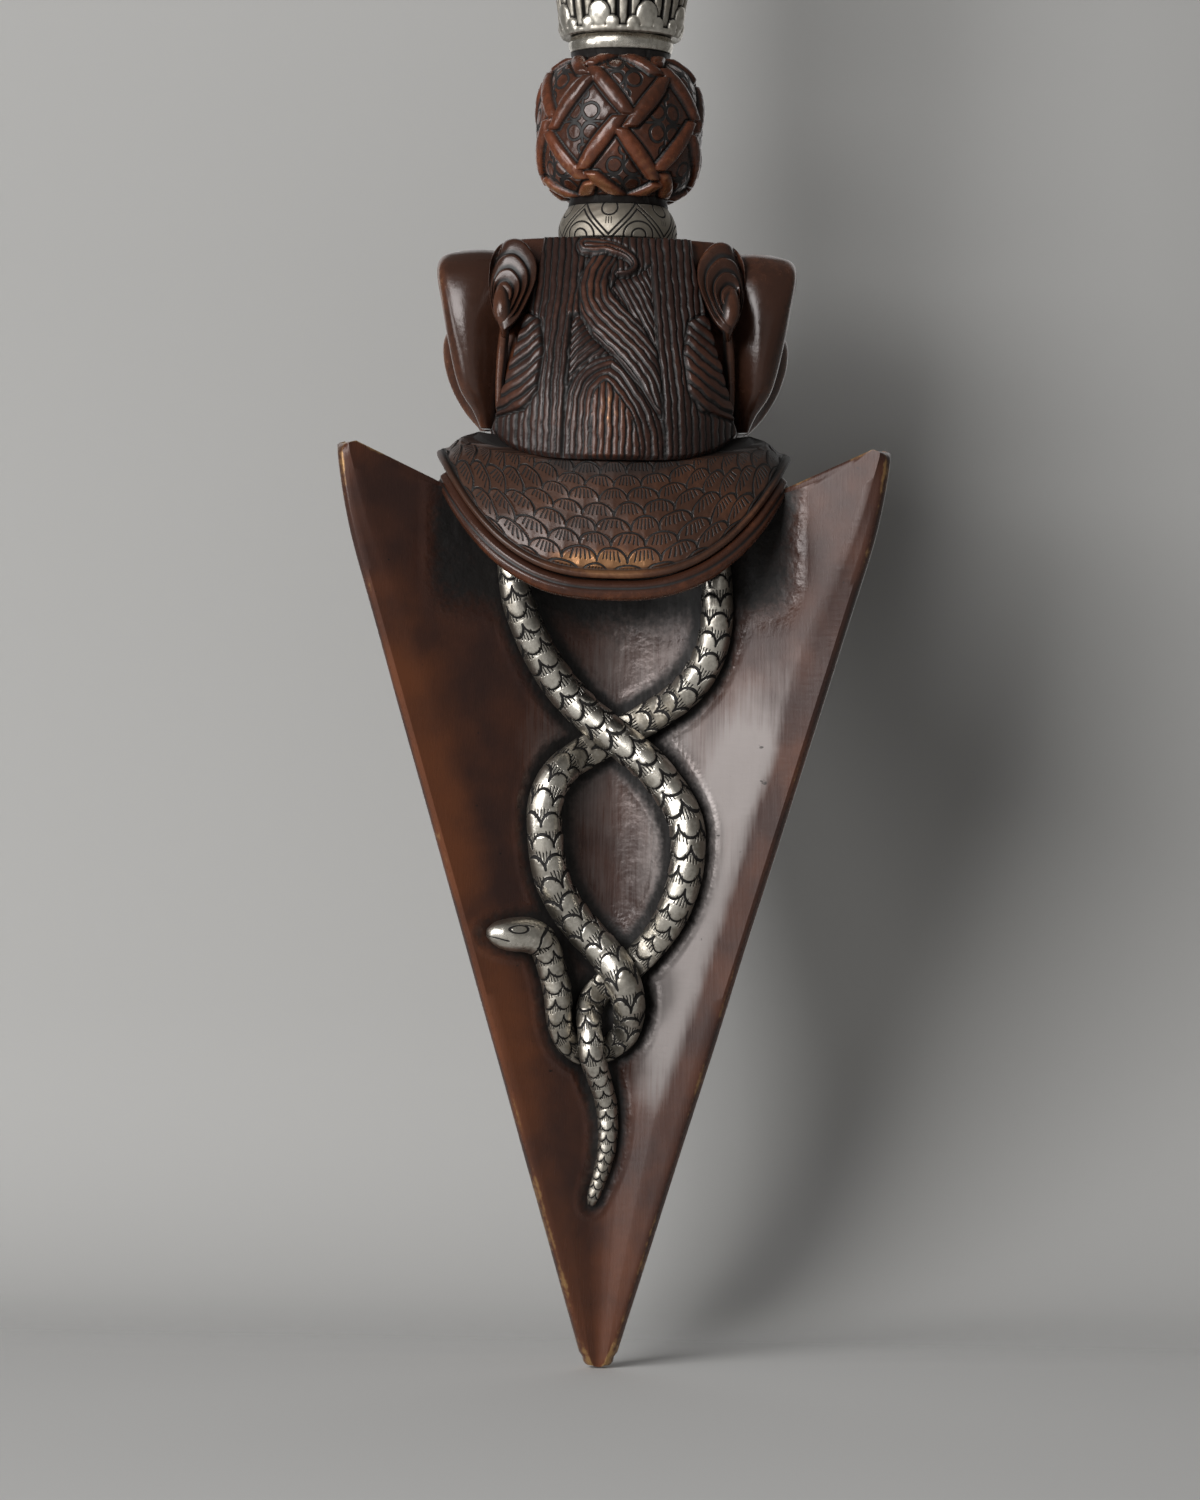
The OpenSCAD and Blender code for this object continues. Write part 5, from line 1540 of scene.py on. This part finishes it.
LIP_R = 1.5
LIP_WIDE = 1.25
LIP_SIDES = 48
a = np.linspace(-LIP_SPAN, LIP_SPAN, 260)
rim = jaw_at(a, 0.0, LIP_R - 0.4)
way = unit(np.gradient(rim, axis=0))
inward = unit(np.cross([0, 0, 1.0], way))
upward = np.cross(way, inward)
degrees = np.arange(LIP_SIDES) * 360 / LIP_SIDES
w = np.radians(degrees)
groove = 1 - 0.16 * bell(degrees - 172, 14) + 0.05 * bell(degrees - 222, 22)
blunt = np.sqrt(np.clip((LIP_SPAN + 0.5 - np.abs(a)) / 3, 0.1, 1))[:, None]
size = LIP_R * groove[None] * blunt * (1 + 0.02 * ripple(a[:, None] / 2, w[None] * 2, (9.0, 4.0), 4))
middle = rim - upward * (LIP_R + SEAT_GAP)
rings = middle[:, None] + inward[:, None] * (LIP_WIDE * size * np.cos(w))[..., None] \
    + upward[:, None] * (size * np.sin(w))[..., None]
low = bell(degrees - 228, 34)[None] * bell(a, 50)[:, None]
cut = 0.9 * bell(degrees - 172, 10) + 0.8 * bell(degrees - 90, 30)
marks = {"rise": 0.15 + 0.55 * low, "cut": np.broadcast_to(clamp(cut), low.shape)}
lip_copper = copper_finish("lip copper", shine=0.26)
make_piece("rolled_lip", ringed(rings, marks), lip_copper, ["jaw_lip"])

# %% [markdown]
# Ears, horns and eyes come in pairs, made on the right and mirrored. An ear is two smooth leaves, a tall
# one and a small lobe before it. A horn is a shell of nested crescents that curl round a drop.

# %% Ears, horns, eyes and fangs
EAR_ROWS = [(20, -6, 0.5, -6.2, -2), (22.4, -7.5, 1.6, -7.5, -1), (26, -8.5, 3.8, -9.5, 1),
            (32, -9, 5.3, -10.5, 3), (38, -9, 6.4, -10.5, 4), (43, -8, 7.2, -9, 4),
            (45.6, -6, 6.6, -6.5, 3), (46.6, -4, 4.1, -4.5, 1)]
LOBE_ROWS = [(20, -0.5, 0.6, 0.2, 2), (23, 0, 3.2, 1.2, 4.4), (27, 1.8, 5.4, 2.6, 6.4),
             (31.5, 3.4, 6.6, 4, 7), (35, 4.8, 6.2, 5, 7.2), (36.4, 5.4, 3.4, 5.6, 6.8)]
ear_copper = copper_finish("ear copper", shine=0.24, brown=(0.038, 0.016, 0.010), red=(0.095, 0.034, 0.017))


def ear_leaf(rows):
    """Rings of a leaf: its root on the skull, its back, its rounded edge and its hollow front."""
    fine = through(rows, 9)
    rings, high = [], []
    for z, y0, out, ye, y1 in fine:
        z = z + HOLLOW_Z
        edge = SKULL_W + out
        roots = [float(skull_side(y, z)) + 2 * SEAT_GAP for y in (y0, y1)]
        mid = (roots[0] + edge) / 2
        full = min(1.0, out / 5)
        back = [(roots[0], y0), (mid, (y0 + ye) / 2 - 0.6 - 0.9 * full), (edge - 1.2 * full, ye - 0.3),
                (edge, ye + 0.45 + 1.3 * full), (edge - 0.55, ye + 1.3 + 1.5 * full),
                (mid + 0.8, (y1 + ye) / 2 + 0.2 + full), (roots[1], y1)]
        line = through(back, 6)
        inside = [(float(skull_side(y, z)) + 2 * SEAT_GAP - 0.6, y) for y in np.linspace(y1, y0, 9)[1:-1]]
        line = np.concatenate([line, inside])
        rings.append(np.column_stack([line, np.full(len(line), z)]))
        high.append(bell(line[:, 0] - edge, 1.0))
    rings = np.array(rings)
    high = np.array(high)
    top = bell(np.arange(len(fine)) - len(fine), 6.0)[:, None]
    off_skull = rings[..., 0] - skull_side(rings[..., 1], rings[..., 2])
    # The cut mark darkens the leaf close to the skull, and over the hollow front it is painted shade.
    hollow = 0.32 * (np.arange(rings.shape[1]) > rings.shape[1] * 0.45) * (1 - high)
    marks = {"rise": clamp(0.2 + 0.6 * np.maximum(high, 0.8 * top)),
             "cut": np.clip(np.maximum(0.9 - off_skull / 1.6, hollow), 0, 0.9)}
    return ringed(rings, marks)


def mirrored(part, side):
    """The part itself, or its mirror image where side is -1."""
    if side > 0:
        return part
    points, faces, carried = part
    return np.asarray(points) * np.array([-1, 1, 1]), [np.asarray(face)[::-1] for face in faces], carried


TUBE_STEP = 0.35
TUBE_SIDES = 24


def tube(route):
    """A rounded bar through places x, y, z, radius; its side towards the axis is darkened as painted shade.
    """
    p, _ = evenly(through(route, 12), TUBE_STEP)
    way = unit(np.gradient(p[:, :3], axis=0))
    out = square_to(way, unit(p[:, :3] * FLAT))
    side = np.cross(way, out)
    w = circle(TUBE_SIDES)
    r = p[:, 3, None]
    rings = p[:, None, :3] + side[:, None] * (r * np.cos(w))[..., None] \
        + out[:, None] * (r * np.sin(w))[..., None]
    rise = np.broadcast_to(0.3 + 0.3 * np.sin(w), rings.shape[:2])
    cut = np.broadcast_to(clamp(0.75 - 1.5 * np.sin(w)), rings.shape[:2])
    return ringed(rings, {"rise": rise, "cut": cut})


def behind(inside, up, out):
    """A place beside the mane: inside the skull's half width, above the hollow, behind the skull."""
    x, z = SKULL_W - inside, HOLLOW_Z + up
    y = -skull_back(z) * np.sqrt(clamp(1 - (x / skull_half(z)) ** 2)) - out
    return np.stack([x, y, z], -1)


def bar(route):
    """A rounded bar through places given as behind() takes them, with its radius."""
    return tube([(*behind(inside, up, out), r) for inside, up, out, r in route])


HORN_EDGE = [(3, 33.8), (4.9, 35.6), (6.4, 38.6), (7.5, 42), (7.2, 45.2), (5, 47.7), (2.4, 47.4),
             (0.8, 45.2), (0.4, 42), (0.7, 38.8), (1.5, 35.8), (3, 33.8)]
HORN_HEART = (2.2, 37.6)
HORN_RIMS = (0.0, 0.34, 0.54, 0.76, 1.0)
HORN_STEP = 1.1
HORN_ROWS = 16


def horn_shell():
    """Crescents one inside the other: each rises to a rim, and past the rim lies a black groove."""
    edge = np.asarray(through(HORN_EDGE, 10))[:-1]
    reach_out = edge - HORN_HEART
    down = -reach_out[:, 1] / np.linalg.norm(reach_out, axis=1)
    strength = fall(down, 0.3, 0.9)
    rings, rise, cut = [], [], []
    for low, high in zip(HORN_RIMS, HORN_RIMS[1:]):
        for t in np.linspace(0, 1, HORN_ROWS):
            s = low + (high - low) * (0.05 + 0.95 * t)
            place = HORN_HEART + reach_out * s
            out = 11.0 - 0.95 * place[:, 0] + 0.6 * (1 - s * s)
            out = out - HORN_STEP * strength * ((1 - t) ** 1.3 + 0.35 * max(0, t - 0.9) / 0.1)
            rings.append(behind(place[:, 0], place[:, 1], out))
            rise.append(0.15 + 0.35 * strength * soft_step(t, 0.6, 0.9))
            cut.append(0.1 + (0.85 - 0.85 * soft_step(t, 0.05, 0.45)) * (0.3 + 0.7 * strength))
    # The sheet that closes the horn against the skull is painted black as shade.
    for s in (1.0, 0.5):
        place = HORN_HEART + reach_out * s
        rings.append(behind(place[:, 0], place[:, 1], 0 * down - 0.6))
        rise.append(0 * down)
        cut.append(0 * down + 1)
    marks = {"rise": np.array(rise), "cut": np.array(cut)}
    return ringed(np.array(rings)[:, ::-1], {key: value[:, ::-1] for key, value in marks.items()})


DROP = [(2.4, 40.4, 8.4, 0.6), (2.5, 38.6, 8.6, 1.2), (2.7, 36.6, 8.2, 1.35), (3, 34.8, 7.2, 0.9),
        (3, 33.2, 5, 0.5)]
STEM = [(3, 34.4, 4.2, 0.7), (2.7, 31.6, 2.4, 0.8), (2.4, 27.6, 1.6, 0.7), (2.3, 23.8, 1.5, 0.6),
        (2.3, 22.2, 1.4, 0.4)]
EYE_Y = 10.6
EYE_Z = HOLLOW_Z + 33
EYE_R = 4.0
eye_x = float(skull_side(EYE_Y, EYE_Z)) - 1
eye_silver = silver_finish("eye silver", shine=0.2)
for side, word in ((1, "right"), (-1, "left")):
    leaves = [mirrored(ear_leaf(rows), side) for rows in (EAR_ROWS, LOBE_ROWS)]
    settle(merged("ear_leaves_" + word, leaves, ear_copper), ["ear_" + word])
    parts = [horn_shell(), bar(DROP), bar(STEM)]
    settle(merged("curled_horn_" + word, [mirrored(part, side) for part in parts], ear_copper),
           ["horn_" + word])
    eye = mirrored(ball((eye_x, EYE_Y, EYE_Z), (EYE_R, EYE_R, EYE_R), 40, 48), side)
    settle(merged("eye_ball_" + word, [eye], eye_silver), ["eye_" + word])

FANG_H = 7.5
FANG_R = 1.7
FANG_ROWS = 16
FANG_SIDES = 20
FANGS = ((5, 32.2), (8.5, 27))
TOP_SLOPE = TOP_DROP / BLADE_REACH


def fang(x, y, length, size):
    """A bent, pointed tooth that hangs from the head's underside."""
    root = HOLLOW_Z + TOP_SLOPE * math.hypot(x, y)
    s = np.linspace(0, 1, FANG_ROWS)[:, None]
    r = size * (1 - s) ** 0.75 + 0.12
    w = circle(FANG_SIDES)
    rings = np.stack(np.broadcast_arrays(x + r * np.cos(w), y - 0.9 * s ** 2 + r * np.sin(w),
                                         root + 0.2 - length * s), -1)
    rise = np.repeat(np.linspace(0.1, 1, FANG_ROWS)[:, None], FANG_SIDES, 1)
    return ringed(rings, {"rise": rise, "cut": clamp(0.6 - rise * 1.4)})


teeth = [mirrored(fang(x, y, FANG_H, FANG_R), side) for side in (-1, 1) for x, y in FANGS]
settle(merged("pointed_fangs", teeth, eye_silver), ["fangs"])

# %% [markdown]
# The head proper is one casting, so its parts are joined for real: skull, trunk and ridges are closed
# shapes that a voxel remesh melts into one skin. Relief then goes onto that skin by position: folds
# across the trunk, locks behind the brow and a fine unevenness. The face lies on the far side from the
# camera and is a free guess after other daggers of this kind.

# %% The head
MELT = 0.42
TRUNK_SQUARE = 2.6
TRUNK = [(8, 20, 14, 17), (15, 20, 12.5, 13.6), (22, 20.4, 10, 11), (28.5, 21.6, 7.6, 9),
         (33.8, 24.4, 6, 7.2), (37.2, 29.2, 5, 5.8), (38, 34.8, 4.2, 4.8), (35.6, 39.6, 3.5, 4),
         (31.2, 41.4, 3, 3.2), (28, 39.2, 2.4, 2.4), (28.6, 36.2, 1.7, 1.7)]
UPPER_LIP = [(4.5, 33, 1.6), (8.5, 27, 1.8), (12.8, 19, 2), (SKULL_W - 2.8, 9, 2), (SKULL_W - 1.4, 0, 1.9),
             (SKULL_W - 1.2, -5, 1.2)]
BROW = [(6, BROW_Y - 1.2, 35.6, 1), (10, BROW_Y - 2.4, 38.6, 1.8), (SKULL_W - 4.8, BROW_Y - 5.4, 39.2, 1.8),
        (SKULL_W - 2.4, BROW_Y - 8.6, 37.4, 1)]


def seat_z(x, y):
    """Height of the head's underside, over the wings' sloping tops."""
    return HOLLOW_Z + SEAT_GAP + TOP_SLOPE * np.hypot(x, y)


def above_seat(part):
    """The part with nothing of it below the head's underside."""
    points, faces, carried = part
    x, y, z = points.T
    return np.column_stack([x, y, np.maximum(z, seat_z(x, y))]), faces, carried


def vertex_numbers(mesh, key):
    """Three numbers of each of a mesh's points."""
    numbers = np.empty(len(mesh.vertices) * 3, np.float32)
    mesh.vertices.foreach_get(key, numbers)
    return numbers.reshape(-1, 3)


skull_z = np.concatenate([HOLLOW_Z + np.array([1.0, 6, 10]), np.linspace(HEM_Z, HEAD_TOP, 60)])
w = np.radians(np.arange(0, 360, 3))
skull_rings = np.array([[[float(skull_half(z)) * math.cos(q),
                          float(skull_back(z) if math.sin(q) < 0 else brow(z)) * math.sin(q), z] for q in w]
                        for z in skull_z])
trunk_line = through([(0, y, HOLLOW_Z + z, a, b) for y, z, a, b in TRUNK], 8)
upward = np.cross(unit(np.gradient(trunk_line[:, :3], axis=0)), [1.0, 0, 0])
w = np.radians(np.arange(0, 360, 6))
box = square_off(w, TRUNK_SQUARE)
trunk_up = trunk_line[:, 4, None] * np.sin(w) * box
trunk_rings = trunk_line[:, None, :3] - upward[:, None] * trunk_up[..., None]
trunk_rings[..., 0] -= trunk_line[:, 3, None] * np.cos(w) * box
shapes = [ringed(skull_rings), ringed(trunk_rings)]
for side in (1, -1):
    for ridge in ([(x, y, float(seat_z(x, y)) + r, r) for x, y, r in UPPER_LIP],
                  [(x, y, HOLLOW_Z + z, r) for x, y, z, r in BROW]):
        points, faces, _ = mirrored(tube(ridge), side)
        shapes.append((points, faces, {}))
head_copper = copper_finish("head copper", shine=0.3)
head = merged("makara", [above_seat(shape) for shape in shapes], head_copper)
melt = head.modifiers.new("Melt", "REMESH")
melt.mode = "VOXEL"
melt.voxel_size = MELT * MM
melt.use_smooth_shade = True
skin = evaluated_mesh(head)
bpy.data.objects.remove(head)
points = vertex_numbers(skin, "co") / MM
normals = vertex_numbers(skin, "normal")
faces = [np.array(polygon.vertices) for polygon in skin.polygons]
x, y, z = points.T
folds, gaps = strands(np.where(y > 24, y * 0.9 + (z - HOLLOW_Z - 20) * 0.55, 0), 31, x, z, 2.4, 0.5)
on_trunk = soft_step(y, 24, 27)
locks, lock_gaps = strands(np.degrees(np.arctan2(np.abs(x), y)) * 0.3 + z * 0.35, 32, y, z, 1.7, 0.45)
on_cheek = soft_step(np.abs(x), 11, 14) * fall(np.abs(x), 25, 26) * fall(y, 13, 17) \
    * fall(z, HOLLOW_Z + 26, HOLLOW_Z + 29)
relief = (folds + 0.2) * on_trunk + (locks + 0.2) * on_cheek + 0.08 * ripple(x + z, y - x, (6.0, 2.5), 33)
above = z - seat_z(x, y)
relief = np.minimum(relief, 0.25) * soft_step(above, 0.2, 1.2)
relief = relief * fall(z, HEAD_TOP - 1.2, HEAD_TOP - 0.4)
points = points + normals * relief[:, None]
dark = clamp(gaps * on_trunk + lock_gaps * on_cheek + 0.5 * fall(above, 0.3, 2.5))
rise = clamp(0.3 + 0.35 * on_trunk * (1 - gaps) + 0.2 * soft_step(y, 10, 20))
bpy.data.meshes.remove(skin)
make_piece("melted_head", (points, faces, {"rise": rise, "cut": dark}), head_copper, ["makara_head"])

# %% [markdown]
# The half vajra is guessed whole: a waisted central prong, and four outer prongs that leave the hub,
# bow out and close in on it under the tip. Each outer prong is a bent rod with a ridge along its back.

# %% The half vajra
vajra_bronze = copper_finish("vajra bronze", brown=(0.070, 0.036, 0.020), red=(0.19, 0.095, 0.045),
                             worn_low=0.35, worn_high=1.0)
CORE_OUTLINE = [(5.2, 0), (5.2, 0.16), (3.9, 0.2), (3.7, 0.24), (4.6, 0.38), (4.9, 0.52), (3.4, 0.66),
                (2.8, 0.74), (3.6, 0.8), (2.2, 0.92), (0.6, 1)]
CORE_SIDES = 96
CORE_FLUTES = 8
radius, height = eased_outline([(r, VAJRA_Z + VAJRA_H * h) for r, h in CORE_OUTLINE], 8)
up_core = height - VAJRA_Z
fluted = clamp((up_core - 0.26 * VAJRA_H) / 4) * clamp((0.7 * VAJRA_H - up_core) / 4)
relief = 0.35 * fluted[:, None] * np.cos(np.radians(CORE_FLUTES * angles(CORE_SIDES)))[None, :-1]
waist = sum(bell(up_core - share * VAJRA_H, 1.3) for share in (0.22, 0.75))
marks = {"rise": 0.5 + relief, "cut": clamp(waist[:, None] * 0.8 - relief)}
turned_work("vajra_middle", "vajra_core", radius, height, relief, marks, None, vajra_bronze)

PRONGS = 4
PRONG_REACH = 13.0
PRONG_R = 2.3
PRONG_SIDES = 32
PRONG_ROUTE = [(0.5, 0.06, 0.8), (0.72, 0.11, 0.9), (0.9, 0.22, 1), (0.97, 0.38, 1), (0.9, 0.55, 0.95),
               (0.7, 0.7, 0.85), (0.5, 0.78, 0.75), (0.42, 0.84, 0.5)]
route = through([(PRONG_REACH * a, VAJRA_Z + VAJRA_H * b, PRONG_R * c) for a, b, c in PRONG_ROUTE], 9)
way = unit(np.gradient(route[:, :2], axis=0))
w = circle(PRONG_SIDES)
keel = 1 + 0.16 * bell(np.degrees(w) - 180, 22) - 0.08 * np.abs(np.sin(2 * w))
step = np.arange(len(route))
tips = np.sqrt(clamp(np.minimum(step + 1, len(route) - step) / 4))
size = (route[:, 2] * tips)[:, None] * keel[None]
x = route[:, 0, None] - way[:, 1, None] * size * np.cos(w)[None]
z = route[:, 1, None] + way[:, 0, None] * size * np.cos(w)[None]
rings = np.stack([x, size * np.sin(w)[None], z], -1)
marks = {"rise": np.broadcast_to(clamp((keel - 0.85) / 0.3), size.shape),
         "cut": np.broadcast_to(3 * clamp(0.9 - keel), size.shape)}
prong = merged("vajra_outer_prongs", [ringed(rings, marks)], vajra_bronze)
settle(repeated(prong, PRONGS, 180 / PRONGS, vajra_bronze), ["vajra_prongs"])

# %% [markdown]
# The tang and its two pins are the CAD's own solids, because their shape is already right. Little more
# than the pins' filed ends shows. They get forged iron: dark scale, a little rust and a dull gleam.

# %% The iron inside
IRON_DARK = (0.030, 0.029, 0.028)
IRON_LIGHT = (0.085, 0.080, 0.075)
RUST = (0.105, 0.042, 0.018)


def iron_finish():
    """Forged iron: dark scale with some rust."""
    f = Finish("forged iron")
    scale = f.noise(2.5, 4)
    rust = (f.noise(5, 3) * 0.7 + f.noise(0.6, 2) * 0.3).step(0.52, 0.66)
    metal = f.blend(rust, f.blend(scale, IRON_DARK, IRON_LIGHT), RUST)
    f.give(Base__Color=metal, Metallic=0.75 - rust * 0.65, Normal=f.bump(f.noise(0.45, 2), 0.03),
           Roughness=0.42 + (scale - 0.5) * 0.2 + rust * 0.35)
    return f.material


iron = iron_finish()
IRON_NODES = ("tang", "blade_pin", "pommel_pin")
for name in IRON_NODES:
    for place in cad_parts[name].material_slots:
        place.material = iron
print("iron on", ", ".join(IRON_NODES))

# %% [markdown]
# The studio is plain: a pale floor, a grey backdrop that only the camera sees, and soft boxes. The key
# stands on the left and throws the soft shadow; a narrower one beside it is mirrored by the front right
# wing. Floor and backdrop show only their fronts, so views from behind and below look past them.

# %% Light and backdrop
AIM = Vector((0, 0, 110))


def lamp(name, at, size, power):
    """A soft box that looks at the middle of the picture; no camera sees it."""
    data = bpy.data.lights.new(name, "AREA")
    data.shape = "RECTANGLE"
    data.size = size[0] * MM
    data.size_y = size[1] * MM
    data.energy = power
    obj = bpy.data.objects.new(name, data)
    obj.location = Vector(at) * MM
    obj.visible_camera = False
    obj.rotation_mode = "QUATERNION"
    obj.rotation_quaternion = (AIM - Vector(at)).to_track_quat("-Z", "Y")
    bpy.context.scene.collection.objects.link(obj)


# The key softbox stands high on the left, out of the way of the cameras that go round the dagger.
lamp("key softbox", (-620, -920, 450), (640, 640), 13.5)
lamp("side softbox", (-1330, -600, 90), (420, 800), 6)
lamp("front fill", (300, -1500, 100), (700, 900), 0.4)
lamp("back fill", (0, 1500, 600), (2400, 1800), 8)

# The world looks grey to the camera and in the metal's reflections, but lights only a little.
AMBIENT = 0.07
GREY = (0.16, 0.158, 0.152)
world = bpy.data.worlds.new("studio")
bpy.context.scene.world = world
world.use_nodes = True
tree = world.node_tree
sky = tree.nodes["Background"]
sky.inputs["Color"].default_value = (AMBIENT, AMBIENT, AMBIENT, 1)
seen = tree.nodes.new("ShaderNodeBackground")
seen.inputs["Color"].default_value = (*GREY, 1)
rays = tree.nodes.new("ShaderNodeLightPath")
pick = tree.nodes.new("ShaderNodeMixShader")
sees = rays.outputs["Is Camera Ray"]
for kind in ("Is Glossy Ray", "Is Transmission Ray"):
    either = tree.nodes.new("ShaderNodeMath")
    either.operation = "MAXIMUM"
    tree.links.new(sees, either.inputs[0])
    tree.links.new(rays.outputs[kind], either.inputs[1])
    sees = either.outputs[0]
tree.links.new(sees, pick.inputs[0])
tree.links.new(sky.outputs[0], pick.inputs[1])
tree.links.new(seen.outputs[0], pick.inputs[2])
tree.links.new(pick.outputs[0], tree.nodes["World Output"].inputs["Surface"])
bpy.context.scene.view_settings.view_transform = "Standard"

PALE = (0.335, 0.331, 0.322)
LOW_PALE = (0.62, 0.613, 0.598)


def stage_sheet(name, rows, fade, paler, only_seen):
    """A stage surface that fades out towards its rim. Where it lies flat, paler makes up for less light."""
    f = Finish(name)
    rim, rise = f.carved("rim", "rise")
    f.give(Base__Color=f.blend(rise, PALE, LOW_PALE), Roughness=0.9, Specular__IOR__Level=0.1)
    clear = f.add("ShaderNodeBsdfTransparent")
    from_behind = Number(f.tree, f.add("ShaderNodeNewGeometry").outputs["Backfacing"])
    hidden = rim.step(0.0, 1.0).at_least(from_behind)
    mix = f.add("ShaderNodeMixShader", None, {0: hidden, 1: f.shader.outputs[0], 2: clear.outputs[0]})
    f.tree.links.new(mix.outputs[0], f.tree.nodes["Material Output"].inputs["Surface"])
    carried = {"rim": fade.ravel(), "rise": paler.ravel()}
    faces = grid_faces(len(rows), rows.shape[1], False)
    piece = make_piece(name, (rows.reshape(-1, 3), faces, carried), f.material)
    if only_seen:
        piece.visible_diffuse = False
        piece.visible_glossy = False
        piece.visible_shadow = False


FLOOR_R = 900
FLOOR_Z = -0.05
FADE_START = 250
FADE_WIDTH = 500
ring = np.linspace(2 * np.pi, 0, 49)
spread = np.linspace(0, FLOOR_R, 13)[:, None]
floor_rows = np.stack(np.broadcast_arrays(spread * np.cos(ring), spread * np.sin(ring), FLOOR_Z), -1)
floor_fade = np.repeat(clamp((spread - FADE_START) / FADE_WIDTH), len(ring), axis=1)
stage_sheet("floor", floor_rows, floor_fade, 0 * floor_fade + 1, False)

WALL_Y = 56
WALL_HALF = 900
COVE = 50
COVE_ROWS = 13
WALL_ROWS = 14
across = np.linspace(-WALL_HALF, WALL_HALF, 61)
bend = np.radians(np.linspace(0, 90, COVE_ROWS))
wall_up = np.linspace(COVE + 60, COVE + 840, WALL_ROWS)
side_on = np.concatenate([np.stack([WALL_Y - COVE + COVE * np.sin(bend), COVE - COVE * np.cos(bend)], 1),
                          np.stack([np.full(WALL_ROWS, WALL_Y), wall_up], 1)])
wall_rows = np.stack([np.stack([across, 0 * across + y, 0 * across + z], 1) for y, z in side_on])
tilt = np.concatenate([bend, np.full(WALL_ROWS, np.pi / 2)])
up_fade = np.maximum(clamp((side_on[:, 1] - 450) / 400), clamp(1 - tilt / 0.6))
wall_fade = np.maximum(clamp((np.abs(across) - 500) / 350)[None, :], up_fade[:, None])
paler = clamp((1 / (0.6 * np.cos(tilt) + 0.97 * np.sin(tilt)) - 0.88) / 0.79)
# Lower on the wall the backdrop is painted paler, which stands in for more light there.
paler = np.maximum(paler, 0.4 - side_on[:, 1] / 700)
stage_sheet("backdrop", wall_rows, wall_fade, paler[:, None] + 0 * wall_fade, True)
